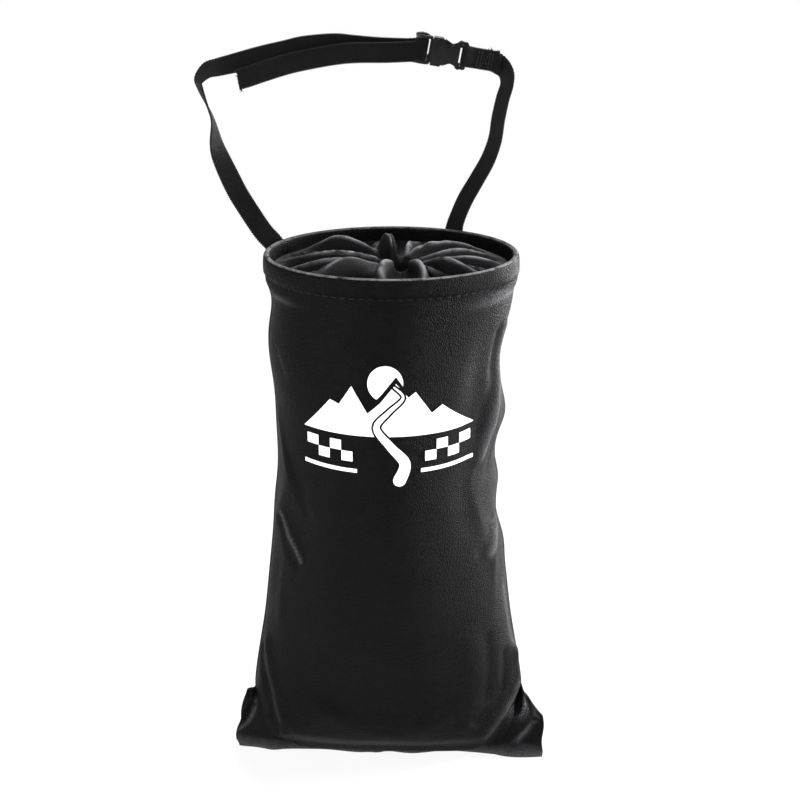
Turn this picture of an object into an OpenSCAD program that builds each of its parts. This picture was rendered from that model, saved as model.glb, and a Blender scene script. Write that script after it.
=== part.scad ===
// Hanging car trash bin: a soft leather bag with a hooped oval mouth, a gathered closure
// with a push-through hole, and a webbing loop that opens at a side-release buckle.
// Lengths are in millimetres. The bag stands on z = 0, and its front faces -Y.

/* [Bag] */
// Height of the bag from its base to the top of the rim
bag_h = 331; // [260:1:420]
// Width of the empty bag laid flat, which sets how deep it is where it is narrow
flat_w = 200; // [180:1:240]
// Outer width of the oval mouth
mouth_w = 147; // [125:1:165]
// Width of the bag at its waist
waist_w = 128; // [110:1:145]
// Height of the waist above the base
waist_h = 202; // [150:1:225]
// Width of the bag at its hips, just above the ears
hip_w = 168; // [150:1:185]
// Height of the hips above the base
hip_h = 52; // [50:1:80]
// Width of the base between the roots of its ears
base_w = 160; // [130:1:170]
// How far the base reaches in front of the middle of the bag
base_front = 17; // [10:0.5:30]
// How far the base reaches behind the middle of the bag
base_back = 33; // [20:0.5:40]
// How far the base is turned, its right end forwards
base_turn = 2; // [0:0.5:6]
// Radius of the soft edge round the base
base_r = 8; // [4:0.5:12]
// Thickness of the leather
leather_t = 1.1; // [0.8:0.1:1.6]
// How far the waist leans towards the left
lean = 3; // [0:0.5:6]

/* [Ears] */
// Height of the left ear at the lower corner
ear_left_h = 40; // [25:1:46]
// Height of the right ear at the lower corner
ear_right_h = 45; // [25:1:46]
// How far the left ear lies behind the middle of the bag
ear_left_y = -1; // [-10:0.5:10]
// How far the right ear lies in front of the middle of the bag
ear_right_y = 13; // [0:0.5:20]

/* [Hem and hoop] */
// Depth of the hem from the rim to its stitched line
hem_h = 12.2; // [11:0.1:18]
// How far the stitches pull the wall in below the hem
stitch_pull = 2.2; // [1:0.1:3]
// Height of the spring hoop in the hem
hoop_h = 8; // [5:0.5:8.5]
// Thickness of the spring hoop
hoop_t = 1.2; // [0.8:0.1:2]
// Gap between a piece and what it lies in
fit_gap = 0.35; // [0.3:0.05:0.5]

/* [Closure] */
// Number of small gathers round the hole
pleats = 11; // [8:1:14]
// Height of the standing folds between the rim and the hole
pleat_h = 5.5; // [2:0.5:7]
// Thickness of the closure's cloth
cloth_t = 0.8; // [0.6:0.1:1.2]
// Radius of the push-through hole
hole_r = 9; // [7:0.5:14]
// How far the hole lies to the right of the mouth's middle
hole_x = 5; // [-8:0.5:8]
// How far the hole lies in front of the mouth's middle
hole_y = 2; // [-5:0.5:5]
// Height of the elastic band round the hole
elastic_h = 5; // [3:0.5:8]
// Thickness of the elastic band
elastic_t = 1; // [0.6:0.1:1.5]

/* [Strap] */
// Width of the webbing
web_w = 11.8; // [10:0.1:12]
// Thickness of the webbing
web_t = 1.2; // [0.9:0.1:1.4]

/* [Buckle] */
// Width of the buckle across the webbing
buckle_w = 16.4; // [16:0.1:20]
// Thickness of the socket
socket_t = 6.2; // [5.8:0.1:8]
// Wall of the socket
socket_wall = 1.1; // [0.9:0.1:1.2]
// Width left at the finger recesses of the socket
waist_of_socket = 10.8; // [10.2:0.1:12]
// Thickness of the bars that the webbing turns round
bar_t = 2.2; // [1.8:0.1:2.6]
// Clearance between the webbing and the bars
web_gap = 0.2; // [0.15:0.05:0.3]

/* [Print] */
// Width of the printed picture
print_w = 96; // [70:1:100]
// Height of the middle of the picture above the base
print_z = 250; // [200:1:256]
// Thickness of the printed film
print_t = 0.3; // [0.2:0.05:0.5]

/* [Hidden] */
leather = [0.11, 0.11, 0.115];
mouth_a = mouth_w / 2;
// Number of places round the front and as many round the back, between the side seams
STEPS = 23;
// Angle on each side of the side seam that the seam or the ear takes up
SEAM_ANGLE = 5;
SEAM_RIDGE = 0.7;
// Height at which the wall meets the hem
wall_top = bag_h - hem_h - 1.8;
// For the left and the right ear: the part of its height where its edge starts to lean in, and
// how far the edge leans in at the top
EAR_KNEE = [0.16, 0.62];
EAR_LEAN = [7.2, 13];
// How much narrower than half the flat width an ear is, for what the seam takes up
EAR_TRIM = 1.4;
// Soft dents and bulges: angle, height, push outwards, reach in degrees and reach in height
DENTS = [
    [0, 276, -2.6, 28, 14], [0, 234, 5.6, 26, 15], [2, 192, 1.8, 24, 9], [358, 168, -1.3, 24, 10],
    [0, 148, 1, 26, 10], [0, 92, -2.2, 30, 34], [180, 302, -2, 26, 12], [180, 272, 2, 26, 20],
    [180, 225, 1.2, 26, 24], [182, 178, 1.2, 26, 18], [180, 95, -2.4, 30, 38],
    [322, 262, -2.6, 11, 34], [338, 244, 1.6, 9, 26], [318, 196, -2.2, 12, 26], [206, 196, 1.6, 10, 22],
    [218, 168, -2.2, 11, 22], [203, 140, -1.4, 10, 20], [235, 60, -2, 16, 26], [312, 58, -1.8, 16, 24],
    [270, 120, 1.4, 34, 40], [118, 210, -3, 13, 50], [72, 160, -2.6, 14, 44], [95, 90, 2, 26, 36],
    [60, 250, 1.6, 16, 28]
];

// Half the depth of an oval that has the given half width and the bag's own girth
function half_depth(a, b = 60, n = 6) =
    n == 0 ? b : half_depth(a, 2 * flat_w / (PI * (1 + pow((a - b) / (a + b), 2) / 4)) - a, n - 1);

function slope(s, i) =
    i <= 0 ? (s[1][1] - s[0][1]) / (s[1][0] - s[0][0])
    : i >= len(s) - 1 ? (s[i][1] - s[i - 1][1]) / (s[i][0] - s[i - 1][0])
    : (s[i + 1][1] - s[i - 1][1]) / (s[i + 1][0] - s[i - 1][0]);

// Smooth curve through stations of height and value
function along(s, z, i = 0) =
    z <= s[0][0] ? s[0][1]
    : z >= s[len(s) - 1][0] ? s[len(s) - 1][1]
    : z > s[i + 1][0] ? along(s, z, i + 1)
    : let (h = s[i + 1][0] - s[i][0], u = (z - s[i][0]) / h)
        s[i][1] * (1 + 2 * u) * pow(1 - u, 2) + s[i + 1][1] * u * u * (3 - 2 * u)
        + h * u * (1 - u) * (slope(s, i) * (1 - u) - slope(s, i + 1) * u);

top_a = mouth_a - stitch_pull - 0.4;
top_b = half_depth(mouth_a) - stitch_pull - 0.4;
width_at = [[base_r, base_w / 2], [hip_h, hip_w / 2], [waist_h, waist_w / 2], [wall_top, top_a]];
front_at = [[base_r, base_front], [hip_h * 0.45, (base_front + half_depth(hip_w / 2)) * 0.56],
            [hip_h, half_depth(hip_w / 2)], [waist_h, half_depth(waist_w / 2)], [wall_top, top_b]];
back_at = [[base_r, base_back], [hip_h, half_depth(hip_w / 2)], [waist_h, half_depth(waist_w / 2)],
           [wall_top, top_b]];
shift_at = [[base_r, -lean * 0.8], [waist_h, -lean], [(waist_h + wall_top) / 2, -lean * 0.8],
            [wall_top, 0]];

function turn(a, b) = let (d = abs(a - b) % 360) min(d, 360 - d);
function dent(t, z) =
    [for (d = DENTS) d[2] * exp(-pow(turn(t, d[0]) / d[3], 2) - pow((z - d[1]) / d[4], 2))]
    * [for (d = DENTS) 1];
function fade(z) = min(1, max(0, (wall_top - z) / 12)) * min(1, max(0, (z - base_r) / 12));
// The base is a little squarer than an oval
function power(z) = z > hip_h ? 1 : 1 - 0.25 * (hip_h - z) / hip_h;
function rounded(v, p) = sign(v) * pow(abs(v), p);

// How much of the base's turn is left at a height
function turned(z) = tan(base_turn) * pow(max(0, 1 - z / (2 * hip_h)), 2);
// A point of the wall at angle t and height z, moved outwards by off
function wall(t, z, off = 0) =
    let (zz = max(z, base_r), p = power(zz), push = off + dent(t, zz) * fade(zz),
         depth = sin(t) < 0 ? along(front_at, zz) : along(back_at, zz),
         x = along(shift_at, zz) + (along(width_at, zz) + push) * rounded(cos(t), p))
    [x, (depth + push) * rounded(sin(t), p) - x * turned(zz), z];

// The ears, on the left (side -1) and the right (side 1): height, place and tip at a height
function ear_h(side) = side > 0 ? ear_right_h : ear_left_h;
function ear_y(side) = side > 0 ? -ear_right_y : ear_left_y;
function ear_tip(side, z) =
    let (i = (side + 1) / 2, knee = ear_h(side) * EAR_KNEE[i],
         over = max(0, z - knee) / (ear_h(side) - knee), under = max(0, 1 - z / 5))
    side * (flat_w / 2 - EAR_TRIM - EAR_LEAN[i] * over - 2 * under * (1 - i)) - lean * 0.8;
// How much of the wall an ear draws out at a height, in degrees on each side of the seam
EAR_DRAW = 28;
function ear_root(side, z) = SEAM_ANGLE + EAR_DRAW * pow(max(0, 1 - z / ear_h(side)), 0.8);
// A point of the outer wall. Beside the seam and below the ear's top, it lies on the pinched
// sheet that runs out to the ear's tip.
function drawn(t, z, inset, side, face) =
    let (middle = side > 0 ? 0 : 180, away = turn(t, middle), root = ear_root(side, z))
    z > ear_h(side) || away >= root ? wall(t, z, -inset)
    : let (p = wall(middle + side * face * root, z, -inset), tip_y = ear_y(side) + face * leather_t,
           s = min(1, (root - away) / (root - SEAM_ANGLE / 3)), pinch = 0.8 + 0.7 * z / ear_h(side))
        [p[0] + (ear_tip(side, z) - p[0]) * s, tip_y + (p[1] - tip_y) * pow(1 - s, pinch), z];
function seam_point(side, z, face, inner, inset) =
    let (t = (side > 0 ? 0 : 180) + side * face * SEAM_ANGLE / 3)
    inner ? wall(t, z, -inset - leather_t)
    : z > ear_h(side) ? wall(t, z, SEAM_RIDGE * fade(z)) : drawn(t, z, inset, side, face);

back_angles = [for (i = [0:STEPS - 1]) SEAM_ANGLE + (180 - 2 * SEAM_ANGLE) * i / (STEPS - 1)];
front_angles = [for (t = back_angles) t + 180];
ring_angles = concat(front_angles, [-SEAM_ANGLE / 3, SEAM_ANGLE / 3], back_angles,
                     [180 - SEAM_ANGLE / 3, 180 + SEAM_ANGLE / 3]);

// One ring of the bag's wall, set in by a distance for the soft edge of the base
function wall_point(t, z, inset, inner) =
    inner ? wall(t, z, -inset - leather_t) : drawn(t, z, inset, sign(cos(t)), sign(sin(t)));
function wall_ring(z, inset = 0, inner = false) = concat(
    [for (t = front_angles) wall_point(t, z, inset, inner)],
    [seam_point(1, z, -1, inner, inset), seam_point(1, z, 1, inner, inset)],
    [for (t = back_angles) wall_point(t, z, inset, inner)],
    [seam_point(-1, z, 1, inner, inset), seam_point(-1, z, -1, inner, inset)]);
function mouth_point(t, off, z) =
    [(mouth_a - off) * cos(t), (half_depth(mouth_a) - off) * sin(t), z];
function mouth_ring(off, down) = [for (t = ring_angles) mouth_point(t, off, bag_h - down)];

// A closed skin over rings of equal length. It closes on itself, or its ends are capped: round a
// middle point, or by rungs between a ring's front half and its back half.
module skin(rings, closed = false, rungs = false) {
    n = len(rings[0]);
    m = len(rings);
    fan = !closed && !rungs;
    middle = function (r) [for (k = [0:2]) ([for (p = r) p[k]] * [for (p = r) 1]) / n];
    points = concat([for (r = rings) each r], fan ? [middle(rings[0]), middle(rings[m - 1])] : []);
    sides = [for (i = [0:m - (closed ? 1 : 2)], j = [0:n - 1])
        let (a = i * n, b = (i + 1) % m * n, k = (j + 1) % n,
             other = !rungs && norm(points[a + j] - points[b + k]) > norm(points[a + k] - points[b + j]))
        each other ? [[a + j, b + j, a + k], [a + k, b + j, b + k]]
                   : [[a + j, b + j, b + k], [a + j, b + k, a + k]]];
    first = fan ? [for (j = [0:n - 1]) [m * n, j, (j + 1) % n]]
        : [for (r = [0:n / 2 - 2]) let (a = (r + n - 1) % n, b = n - 2 - r)
            each [[a, r, b - 1], [a, b - 1, b]]];
    last = fan ? [for (j = [0:n - 1]) [m * n + 1, (m - 1) * n + (j + 1) % n, (m - 1) * n + j]]
        : [for (f = first) [f[2] + (m - 1) * n, f[1] + (m - 1) * n, f[0] + (m - 1) * n]];
    polyhedron(points = points, faces = concat(sides, closed ? [] : first, closed ? [] : last));
}

cavity = leather_t + hoop_t + 2 * fit_gap;
flap = cavity + leather_t;
stitched = stitch_pull + leather_t;
hoop_top = leather_t + 0.2 + fit_gap;
// Heights of the wall's rings, closer together towards the top
wall_rows = [for (i = [0:15]) hip_h + (wall_top - hip_h) * pow(i / 15, 0.85)];

// The leather bag: one folded sheet, with its hem turned over the hoop and its lower corners
// standing out as two ears
module bag_body() {
    lower = min(ear_left_h, ear_right_h);
    upper = max(ear_left_h, ear_right_h);
    ears = concat([for (f = [0.38, 0.6, 0.8, 1]) lower * f], [lower + 0.5],
                  upper > lower + 0.5 ? [upper, upper + 0.5] : []);
    outer = concat(
        [for (a = [90, 62, 32, 0]) wall_ring(base_r * (1 - sin(a)), base_r * (1 - cos(a)))],
        [for (z = ears) if (z > base_r) wall_ring(z)],
        [for (z = wall_rows) wall_ring(z)]);
    hem = [
        mouth_ring(stitch_pull, hem_h), mouth_ring(0.5, hem_h - 2.6), mouth_ring(0, hem_h / 2),
        mouth_ring(0.1, 2.6), mouth_ring(0.9, 0.6), mouth_ring(flap * 0.5, 0),
        mouth_ring(flap - 0.6, 0.8), mouth_ring(flap, 2.8), mouth_ring(flap, hoop_top + hoop_h),
        mouth_ring(stitched + fit_gap + leather_t, hem_h + 1.4),
        mouth_ring(stitched + fit_gap, hem_h + 1.4), mouth_ring(cavity, hoop_top + hoop_h),
        mouth_ring(cavity, 2), mouth_ring(cavity - 0.4, leather_t + 0.2),
        mouth_ring(leather_t + 0.4, leather_t + 0.2), mouth_ring(leather_t, 2),
        mouth_ring(leather_t, hoop_top + hoop_h + fit_gap), mouth_ring(stitched, hem_h)
    ];
    inner = concat([for (i = [len(wall_rows) - 1:-1:0]) wall_ring(wall_rows[i], 0, true)],
        [for (b = [[0, base_r + 1], [1.5, 4.3], [4.2, 1.9], [base_r, 1.2]]) wall_ring(b[1], b[0], true)]);
    color(leather) skin(concat(outer, hem, inner), rungs = true);
}

// The flat spring hoop that holds the mouth open inside the hem
module mouth_hoop() {
    function outline(off) = [for (t = ring_angles) let (p = mouth_point(t, off, 0)) [p[0], p[1]]];
    color([0.2, 0.2, 0.2]) translate([0, 0, bag_h - hoop_top - hoop_h]) linear_extrude(hoop_h)
        difference() {
            polygon(outline(leather_t + fit_gap));
            polygon(outline(leather_t + fit_gap + hoop_t));
        }
}

CLOSURE_STEPS = 5;
skirt = stitched + fit_gap + leather_t + fit_gap;
casing = cloth_t + elastic_t + 2 * fit_gap;
// Standing folds of the closure: angle, how it changes from edge to hole, height as a share of
// pleat_h, half width, and the place and the reach of the crest on the way in to the hole
FOLDS = [[128, -35, 1.4, 9, 0.4, 0.24], [168, -10, 0.85, 6, 0.58, 0.3], [197, 0, 1, 6, 0.5, 0.28],
         [228, 6, 1.5, 10, 0.43, 0.27], [257, -25, 0.95, 4, 0.7, 0.5], [294, 20, 0.95, 4, 0.7, 0.5],
         [326, 0, 1.35, 7, 0.52, 0.27], [356, 0, 0.55, 8, 0.4, 0.26], [22, 10, 0.7, 6, 0.5, 0.24],
         [50, 55, 0.95, 7, 0.5, 0.3], [80, 0, 0.7, 5, 0.66, 0.24], [110, 20, 2.3, 4.6, 0.88, 0.14]];
function fold_height(t, u, across) =
    [for (f = FOLDS) f[2] * exp(-pow(turn(t, f[0] + f[1] * (u - 0.5)) * PI / 180 * across / f[3], 2)
                                - pow((u - f[4]) / f[5], 2))] * [for (f = FOLDS) 1];
// Depth of the closure's outer edge below the rim, and how far its middle rises over that
CLOSURE_DOWN = 8.6;
CLOSURE_RISE = 3.4;
// A point of the closure from its outer edge (u = 0) to its hole (u = 1), set down by under
function closure_point(t, u, under = 0) =
    let (r = hole_r + cloth_t, a = mouth_a - skirt - cloth_t, b = half_depth(mouth_a) - skirt - cloth_t,
         raised = pleat_h * fold_height(t, u, b + (r - b) * u) * sin(90 * min(1, u / 0.2)),
         gathered = 0.8 * u * u * cos(pleats * t + 50))
    [(a + (r - a) * u) * cos(t) + hole_x * u, (b + (r - b) * u) * sin(t) - hole_y * u,
     bag_h - CLOSURE_DOWN + CLOSURE_RISE * sin(150 * u) + raised + gathered - under];
closure_turns = [for (j = [0:CLOSURE_STEPS * pleats - 1]) 360 * j / (CLOSURE_STEPS * pleats)];
function closure_ring(u, under) = [for (t = closure_turns) closure_point(t, u, under)];
function skirt_ring(off, down) = [for (t = closure_turns) mouth_point(t, off, bag_h - down)];
function hole_ring(r, down) =
    [for (t = closure_turns) [hole_x + r * cos(t), r * sin(t) - hole_y, bag_h - down]];
CASING_TOP = 11.6;
casing_end = CASING_TOP + elastic_h + 2 * fit_gap + cloth_t;

// The gathered closure: a skirt inside the hem, pleats that run in to the hole, and the casing
// of the elastic round the hole
module closure_collar() {
    steps = [0.11, 0.27, 0.42, 0.56, 0.7, 0.82, 0.93];
    top = [for (u = concat([0], steps)) closure_ring(u, 0)];
    under = [for (i = [len(steps) - 1:-1:0]) closure_ring(steps[i], cloth_t * 1.7)];
    neck = [
        hole_ring(hole_r + 0.2, CASING_TOP - 2), hole_ring(hole_r, CASING_TOP),
        hole_ring(hole_r, casing_end), hole_ring(hole_r + casing + cloth_t, casing_end),
        hole_ring(hole_r + casing + cloth_t, CASING_TOP), hole_ring(hole_r + casing, CASING_TOP),
        hole_ring(hole_r + casing, casing_end - cloth_t), hole_ring(hole_r + cloth_t, casing_end - cloth_t),
        hole_ring(hole_r + cloth_t, CASING_TOP - 1)
    ];
    band = [skirt_ring(skirt + cloth_t, 10), skirt_ring(skirt + cloth_t, hem_h), skirt_ring(skirt, hem_h),
            skirt_ring(skirt, 9.4)];
    color([0.13, 0.13, 0.135]) skin(concat(band, top, neck, under), closed = true);
}

// The elastic band in the casing round the hole
module closure_elastic() {
    r = hole_r + cloth_t + fit_gap;
    color([0.16, 0.16, 0.16]) translate([hole_x, -hole_y, bag_h - CASING_TOP - fit_gap - elastic_h])
        rotate_extrude($fn = 64) translate([r, 0]) square([elastic_t, elastic_h]);
}

// The printed picture: hills and a low sun with a road winding down from them, and chequers on
// both sides of the road
ROAD = [[3, 28, 0.9], [8, 22, 1.5], [0, 14, 2.4], [-7, 5, 3.6], [1, -6, 4.8], [9, -16, 6.2], [6, -26, 7.4]];
module road(grow) {
    for (i = [0:len(ROAD) - 2])
        hull() {
            translate([ROAD[i][0], ROAD[i][1]]) circle(ROAD[i][2] / 2 + grow, $fn = 16);
            translate([ROAD[i + 1][0], ROAD[i + 1][1]]) circle(ROAD[i + 1][2] / 2 + grow, $fn = 16);
        }
}
module picture() {
    u = print_w / 96;
    scale([u, u]) {
        difference() {
            polygon([[-48, 0], [-33, 19], [-28, 17], [-21, 28], [-12, 13], [-5, 19], [4, 30], [11, 22],
                     [15, 25], [24, 12], [30, 16], [48, 0]]);
            road(1.2);
        }
        difference() {
            translate([-2, 30]) circle(10, $fn = 32);
            polygon([[-24, 32], [-12, 17], [-5, 23], [4, 34], [14, 20], [-12, 5]]);
        }
        road(0);
        for (side = [-1, 1], i = [0:3], j = [0:1])
            if ((i + j) % 2 == 0)
                translate([side * (23.6 + 6.5 * i) - 3.2, -15.5 + 6 * j]) square([6.3, 5.8]);
        for (side = [-1, 1]) translate([side * 33 - 15, -22]) square([30, 2.2]);
    }
}
// A thin film over a grid of outer and of inner points, both cut up the same way as the wall
module film(outer, inner) {
    m = len(outer);
    n = len(outer[0]);
    points = concat([for (r = outer) each r], [for (r = inner) each r]);
    grid = [for (i = [0:m - 2], j = [0:n - 2]) let (a = i * n + j)
        each [[a, a + n, a + n + 1], [a, a + n + 1, a + 1]]];
    edge = concat([for (j = [0:n - 1]) j], [for (i = [1:m - 1]) i * n + n - 1],
                  [for (j = [n - 2:-1:0]) (m - 1) * n + j], [for (i = [m - 2:-1:1]) i * n]);
    k = len(edge);
    border = [for (i = [0:k - 1]) let (a = edge[i], b = edge[(i + 1) % k])
        each [[a, b, b + m * n], [a, b + m * n, a + m * n]]];
    back = [for (t = grid) [t[2] + m * n, t[1] + m * n, t[0] + m * n]];
    polyhedron(points = points, faces = concat(grid, border, back));
}
PRINT_LIFT = 0.15;
// How far the zero of the picture's drawing lies below its middle
PICTURE_DROP = 8;
module front_print() {
    reach = print_w * 0.46;
    rows = [for (i = [1:len(wall_rows) - 2])
        if (wall_rows[i + 1] > print_z - reach && wall_rows[i - 1] < print_z + reach) wall_rows[i]];
    cols = [for (t = front_angles) if (t > 208 && t < 332) t];
    color("white") intersection() {
        film([for (z = rows) [for (t = cols) wall(t, z, PRINT_LIFT + print_t)]],
             [for (z = rows) [for (t = cols) wall(t, z, PRINT_LIFT)]]);
        translate([-lean * 0.4, 0, print_z - PICTURE_DROP]) rotate([90, 0, 0]) linear_extrude(flat_w)
            picture();
    }
}

// Webbing: a flat ribbon along stations of place and width direction
function unit(v) = v / norm(v);
function mid(a, b, c, d, u) =
    0.5 * (2 * b + (c - a) * u + (2 * a - 5 * b + 4 * c - d) * u * u + (3 * b - a - 3 * c + d) * u * u * u);
// A list of values eased along places: one value more in each stretch longer than this
LONG_STRETCH = 3;
function eased(v, p) = let (n = len(p) - 1)
    concat([for (i = [0:n - 1]) let (parts = norm(p[i + 1] - p[i]) > LONG_STRETCH ? 2 : 1)
        each [for (k = [0:parts - 1])
            mid(v[max(i - 1, 0)], v[i], v[i + 1], v[min(i + 2, n)], k / parts)]], [v[n]]);
// A station is a place and the turn of the width about the run (0 for a width seen in full from
// the front, 90 for one seen edge-on), or a place and the width's own direction
function run_at(p, i) = unit(p[min(i + 1, len(p) - 1)] - p[max(i - 1, 0)]);
function width_turned(run, turned) =
    let (n = unit(cross([0, 1, 0], run))) cos(turned) * n + sin(turned) * cross(run, n);
module ribbon(stations, cut = 0) {
    bases = [for (q = stations) q[0]];
    widths = [for (i = [0:len(stations) - 1])
        is_list(stations[i][1]) ? stations[i][1] : width_turned(run_at(bases, i), stations[i][1])];
    p = eased(bases, bases);
    w = eased(widths, bases);
    last = len(p) - 1;
    color([0.07, 0.07, 0.07]) skin([for (i = [0:last])
        let (run = run_at(p, i), side = unit(w[i] - (w[i] * run) * run), face = cross(run, side),
             a = (side + (i == last ? tan(cut) : 0) * run) * web_w / 2, f = face * web_t / 2)
        [p[i] + a + f, p[i] - a + f, p[i] - a - f, p[i] + a - f]]);
}

// The buckle's own frame: its length along X, its width along Z and its front towards -Y
BUCKLE_AT = [29.5, 46, 105];
BUCKLE_TILT = 10;
function in_buckle(s, w, t) =
    [BUCKLE_AT[0] + s * cos(BUCKLE_TILT) + w * sin(BUCKLE_TILT), BUCKLE_AT[1] - t,
     bag_h + BUCKLE_AT[2] - s * sin(BUCKLE_TILT) + w * cos(BUCKLE_TILT)];
module place_buckle() {
    translate([BUCKLE_AT[0], BUCKLE_AT[1], bag_h + BUCKLE_AT[2]]) rotate([0, BUCKLE_TILT, 0]) children();
}
// A flat piece of the buckle from depth t0 to depth t1, towards its front
module slab(t0, t1) {
    translate([0, -t0, 0]) rotate([90, 0, 0]) linear_extrude(t1 - t0) children();
}

SLOT = 2.2;
slot_w = web_w + 0.8;
bar_half = bar_t / 2;
layer = web_t + web_gap;
// Places along the buckle, from the ladder bars on the left to the sewn bar on the right
OUTER_BAR = -16.4;
OUTER_END = OUTER_BAR + 2;
MIDDLE_BAR = OUTER_END + SLOT;
BLOCK = -8;
MIDDLE_END = BLOCK - SLOT;
MOUTH = -6.2;
HINGE = -4.2;
SHOULDER = 0.5;
CAVITY_END = 8.3;
END_BAR = 12.2;
TAIL_END = 14.2;
clear = web_gap + web_t / 2;
wrap = bar_half + clear;

// The half with the ladder bars, the guide tongue and the roots of the latches
module buckle_plug() {
    half = buckle_w / 2;
    inside = half - socket_wall - 0.35;
    color([0.05, 0.05, 0.05]) place_buckle() {
        slab(-bar_half, bar_half) difference() {
            translate([OUTER_BAR, -half]) square([BLOCK - OUTER_BAR + 0.6, buckle_w]);
            translate([OUTER_END, -slot_w / 2]) square([SLOT, slot_w]);
            translate([MIDDLE_END, -slot_w / 2]) square([SLOT, slot_w]);
        }
        for (side = [-1, 1]) translate([0, 0, side > 0 ? half - 1.7 : -half]) linear_extrude(1.7)
            intersection() {
                translate([OUTER_BAR, -3.2]) square([BLOCK - OUTER_BAR + 0.6, 3.2]);
                translate([(OUTER_BAR + BLOCK) / 2, 6.4]) circle(9.2, $fn = 96);
            }
        slab(-1.6, 1.6) {
            translate([BLOCK, -inside]) square([HINGE - 1.4 - BLOCK, 2 * inside]);
            hull() {
                translate([HINGE - 2, -1.3]) square([1, 2.6]);
                translate([3.4, 0]) circle(0.8, $fn = 24);
            }
        }
    }
}

module socket_outline(inset) {
    middle = buckle_w / 2 + 3.2;
    difference() {
        translate([MOUTH + inset, -buckle_w / 2 + inset])
            square([TAIL_END - 3.6 - MOUTH - inset, buckle_w - 2 * inset]);
        for (side = [-1, 1]) translate([4.3, side * middle])
            circle(middle - waist_of_socket / 2 + inset, $fn = 96);
    }
}
// The half that the latches snap into, with its finger recesses and the bar of the sewn loop
module buckle_socket() {
    half = buckle_w / 2;
    color([0.05, 0.05, 0.05]) place_buckle() {
        difference() {
            union() {
                slab(-socket_t / 2 + 0.7, socket_t / 2 - 0.7) socket_outline(0);
                slab(-socket_t / 2, socket_t / 2) socket_outline(0.7);
            }
            slab(-socket_t / 2 + socket_wall, socket_t / 2 - socket_wall)
                translate([MOUTH - 1, -half + socket_wall])
                    square([CAVITY_END - MOUTH + 1, buckle_w - 2 * socket_wall]);
            slab(-socket_t, socket_t)
                translate([CAVITY_END + 1.3, -slot_w / 2]) square([SLOT + 0.4, slot_w]);
            for (t = [-socket_t, bar_half + 0.4]) slab(t, t < 0 ? -bar_half - 0.4 : socket_t)
                translate([CAVITY_END + 1.3, -half]) square([TAIL_END, buckle_w]);
        }
        slab(-bar_half, bar_half) difference() {
            hull() {
                translate([CAVITY_END, -half + 0.4]) square([1, buckle_w - 0.8]);
                for (side = [-1, 1]) translate([TAIL_END - 1.6, side * (half - 1.8)]) circle(1.6, $fn = 32);
            }
            translate([CAVITY_END + 1.3, -slot_w / 2]) square([END_BAR - CAVITY_END - 1.3, slot_w]);
        }
    }
}

// One springy latch: its round root, its arm and its catch
module latch(side) {
    inside = buckle_w / 2 - socket_wall;
    root = 4.5;
    color([0.05, 0.05, 0.05]) place_buckle() mirror([0, 0, side > 0 ? 0 : 1]) slab(-1.6, 1.6) {
        translate([HINGE, root]) circle(1.1, $fn = 32);
        polygon([[HINGE, root - 1.1], [7.2, 3.4], [7.6, 3.9], [7.2, 4.5], [4.3, 5.9],
                 [SHOULDER, inside + 0.6], [SHOULDER, root + 1.1], [HINGE, root + 1.1]]);
    }
}
module upper_latch() {
    latch(1);
}
module lower_latch() {
    latch(-1);
}

// Where the straps are sewn on the back of the bag: angle, depth below the rim and turn
LEFT_SEAT = [[129, 47, 30], [136, 35, 35], [143, 23.5, 38]];
RIGHT_SEAT = [[64, 47, -22], [63, 35, -22], [61.5, 23.5, -22]];
function seats(list) = [for (q = list) [wall(q[0], bag_h - q[1], fit_gap + 0.2 + web_t / 2), q[2]]];
// Route above the seat: x, y, height over the rim and turn
function route(list) = [for (q = list) [[q[0], q[1], bag_h + q[2]], q[3]]];
// Route through the buckle: place along it and depth from its middle
function threaded(list) = let (up = in_buckle(0, 1, 0) - in_buckle(0, 0, 0))
    [for (q = list) [in_buckle(q[0], 0, q[1]), up]];

// Places from the back to the front round a bar's edge at place s, on its right (1) or left (-1)
function turn_round(s, side) =
    [[s + side * 0.7 * clear, -bar_half - 0.7 * clear], [s + side * clear, -bar_half * 0.8],
     [s + side * clear, bar_half * 0.8], [s + side * 0.7 * clear, bar_half + 0.7 * clear]];

// The left webbing: sewn to the bag, half twisted, threaded through the ladder bars, with its tail
LEFT_ROUTE = [
    [-63.8, 32, -14, 30], [-69.8, 33, -5, 18], [-76.4, 34, 2.6, 12], [-87, 39.5, 17.6, 8],
    [-92.3, 41.5, 26.7, 15], [-100, 44, 43.7, 40], [-102.6, 45, 52.6, 60], [-104.1, 46, 65.2, 90],
    [-106.8, 46.2, 73.4, 100], [-110.6, 46.6, 83.6, 112], [-111.4, 47, 89, 118], [-106.4, 47.3, 94.6, 132],
    [-99.8, 47.6, 96.9, 140], [-89.5, 48.1, 99.8, 150], [-74.4, 48.6, 105.2, 164], [-49.9, 49.1, 109, 178],
    [-27.9, 49.4, 109.6, 180], [-6.5, 49.4, 109.6, 180]
];
TAIL_ROUTE = [
    [-3.6, 47.3, 105.2, 0], [-21.4, 46.4, 104.5, 0], [-47.2, 45, 102.3, 0], [-58.2, 44, 99.8, 0],
    [-74.4, 42.8, 93, 0], [-81.3, 42.4, 91.2, 0], [-88.2, 42.2, 89.8, 0]
];
TAIL_CUT = -9;
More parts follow.
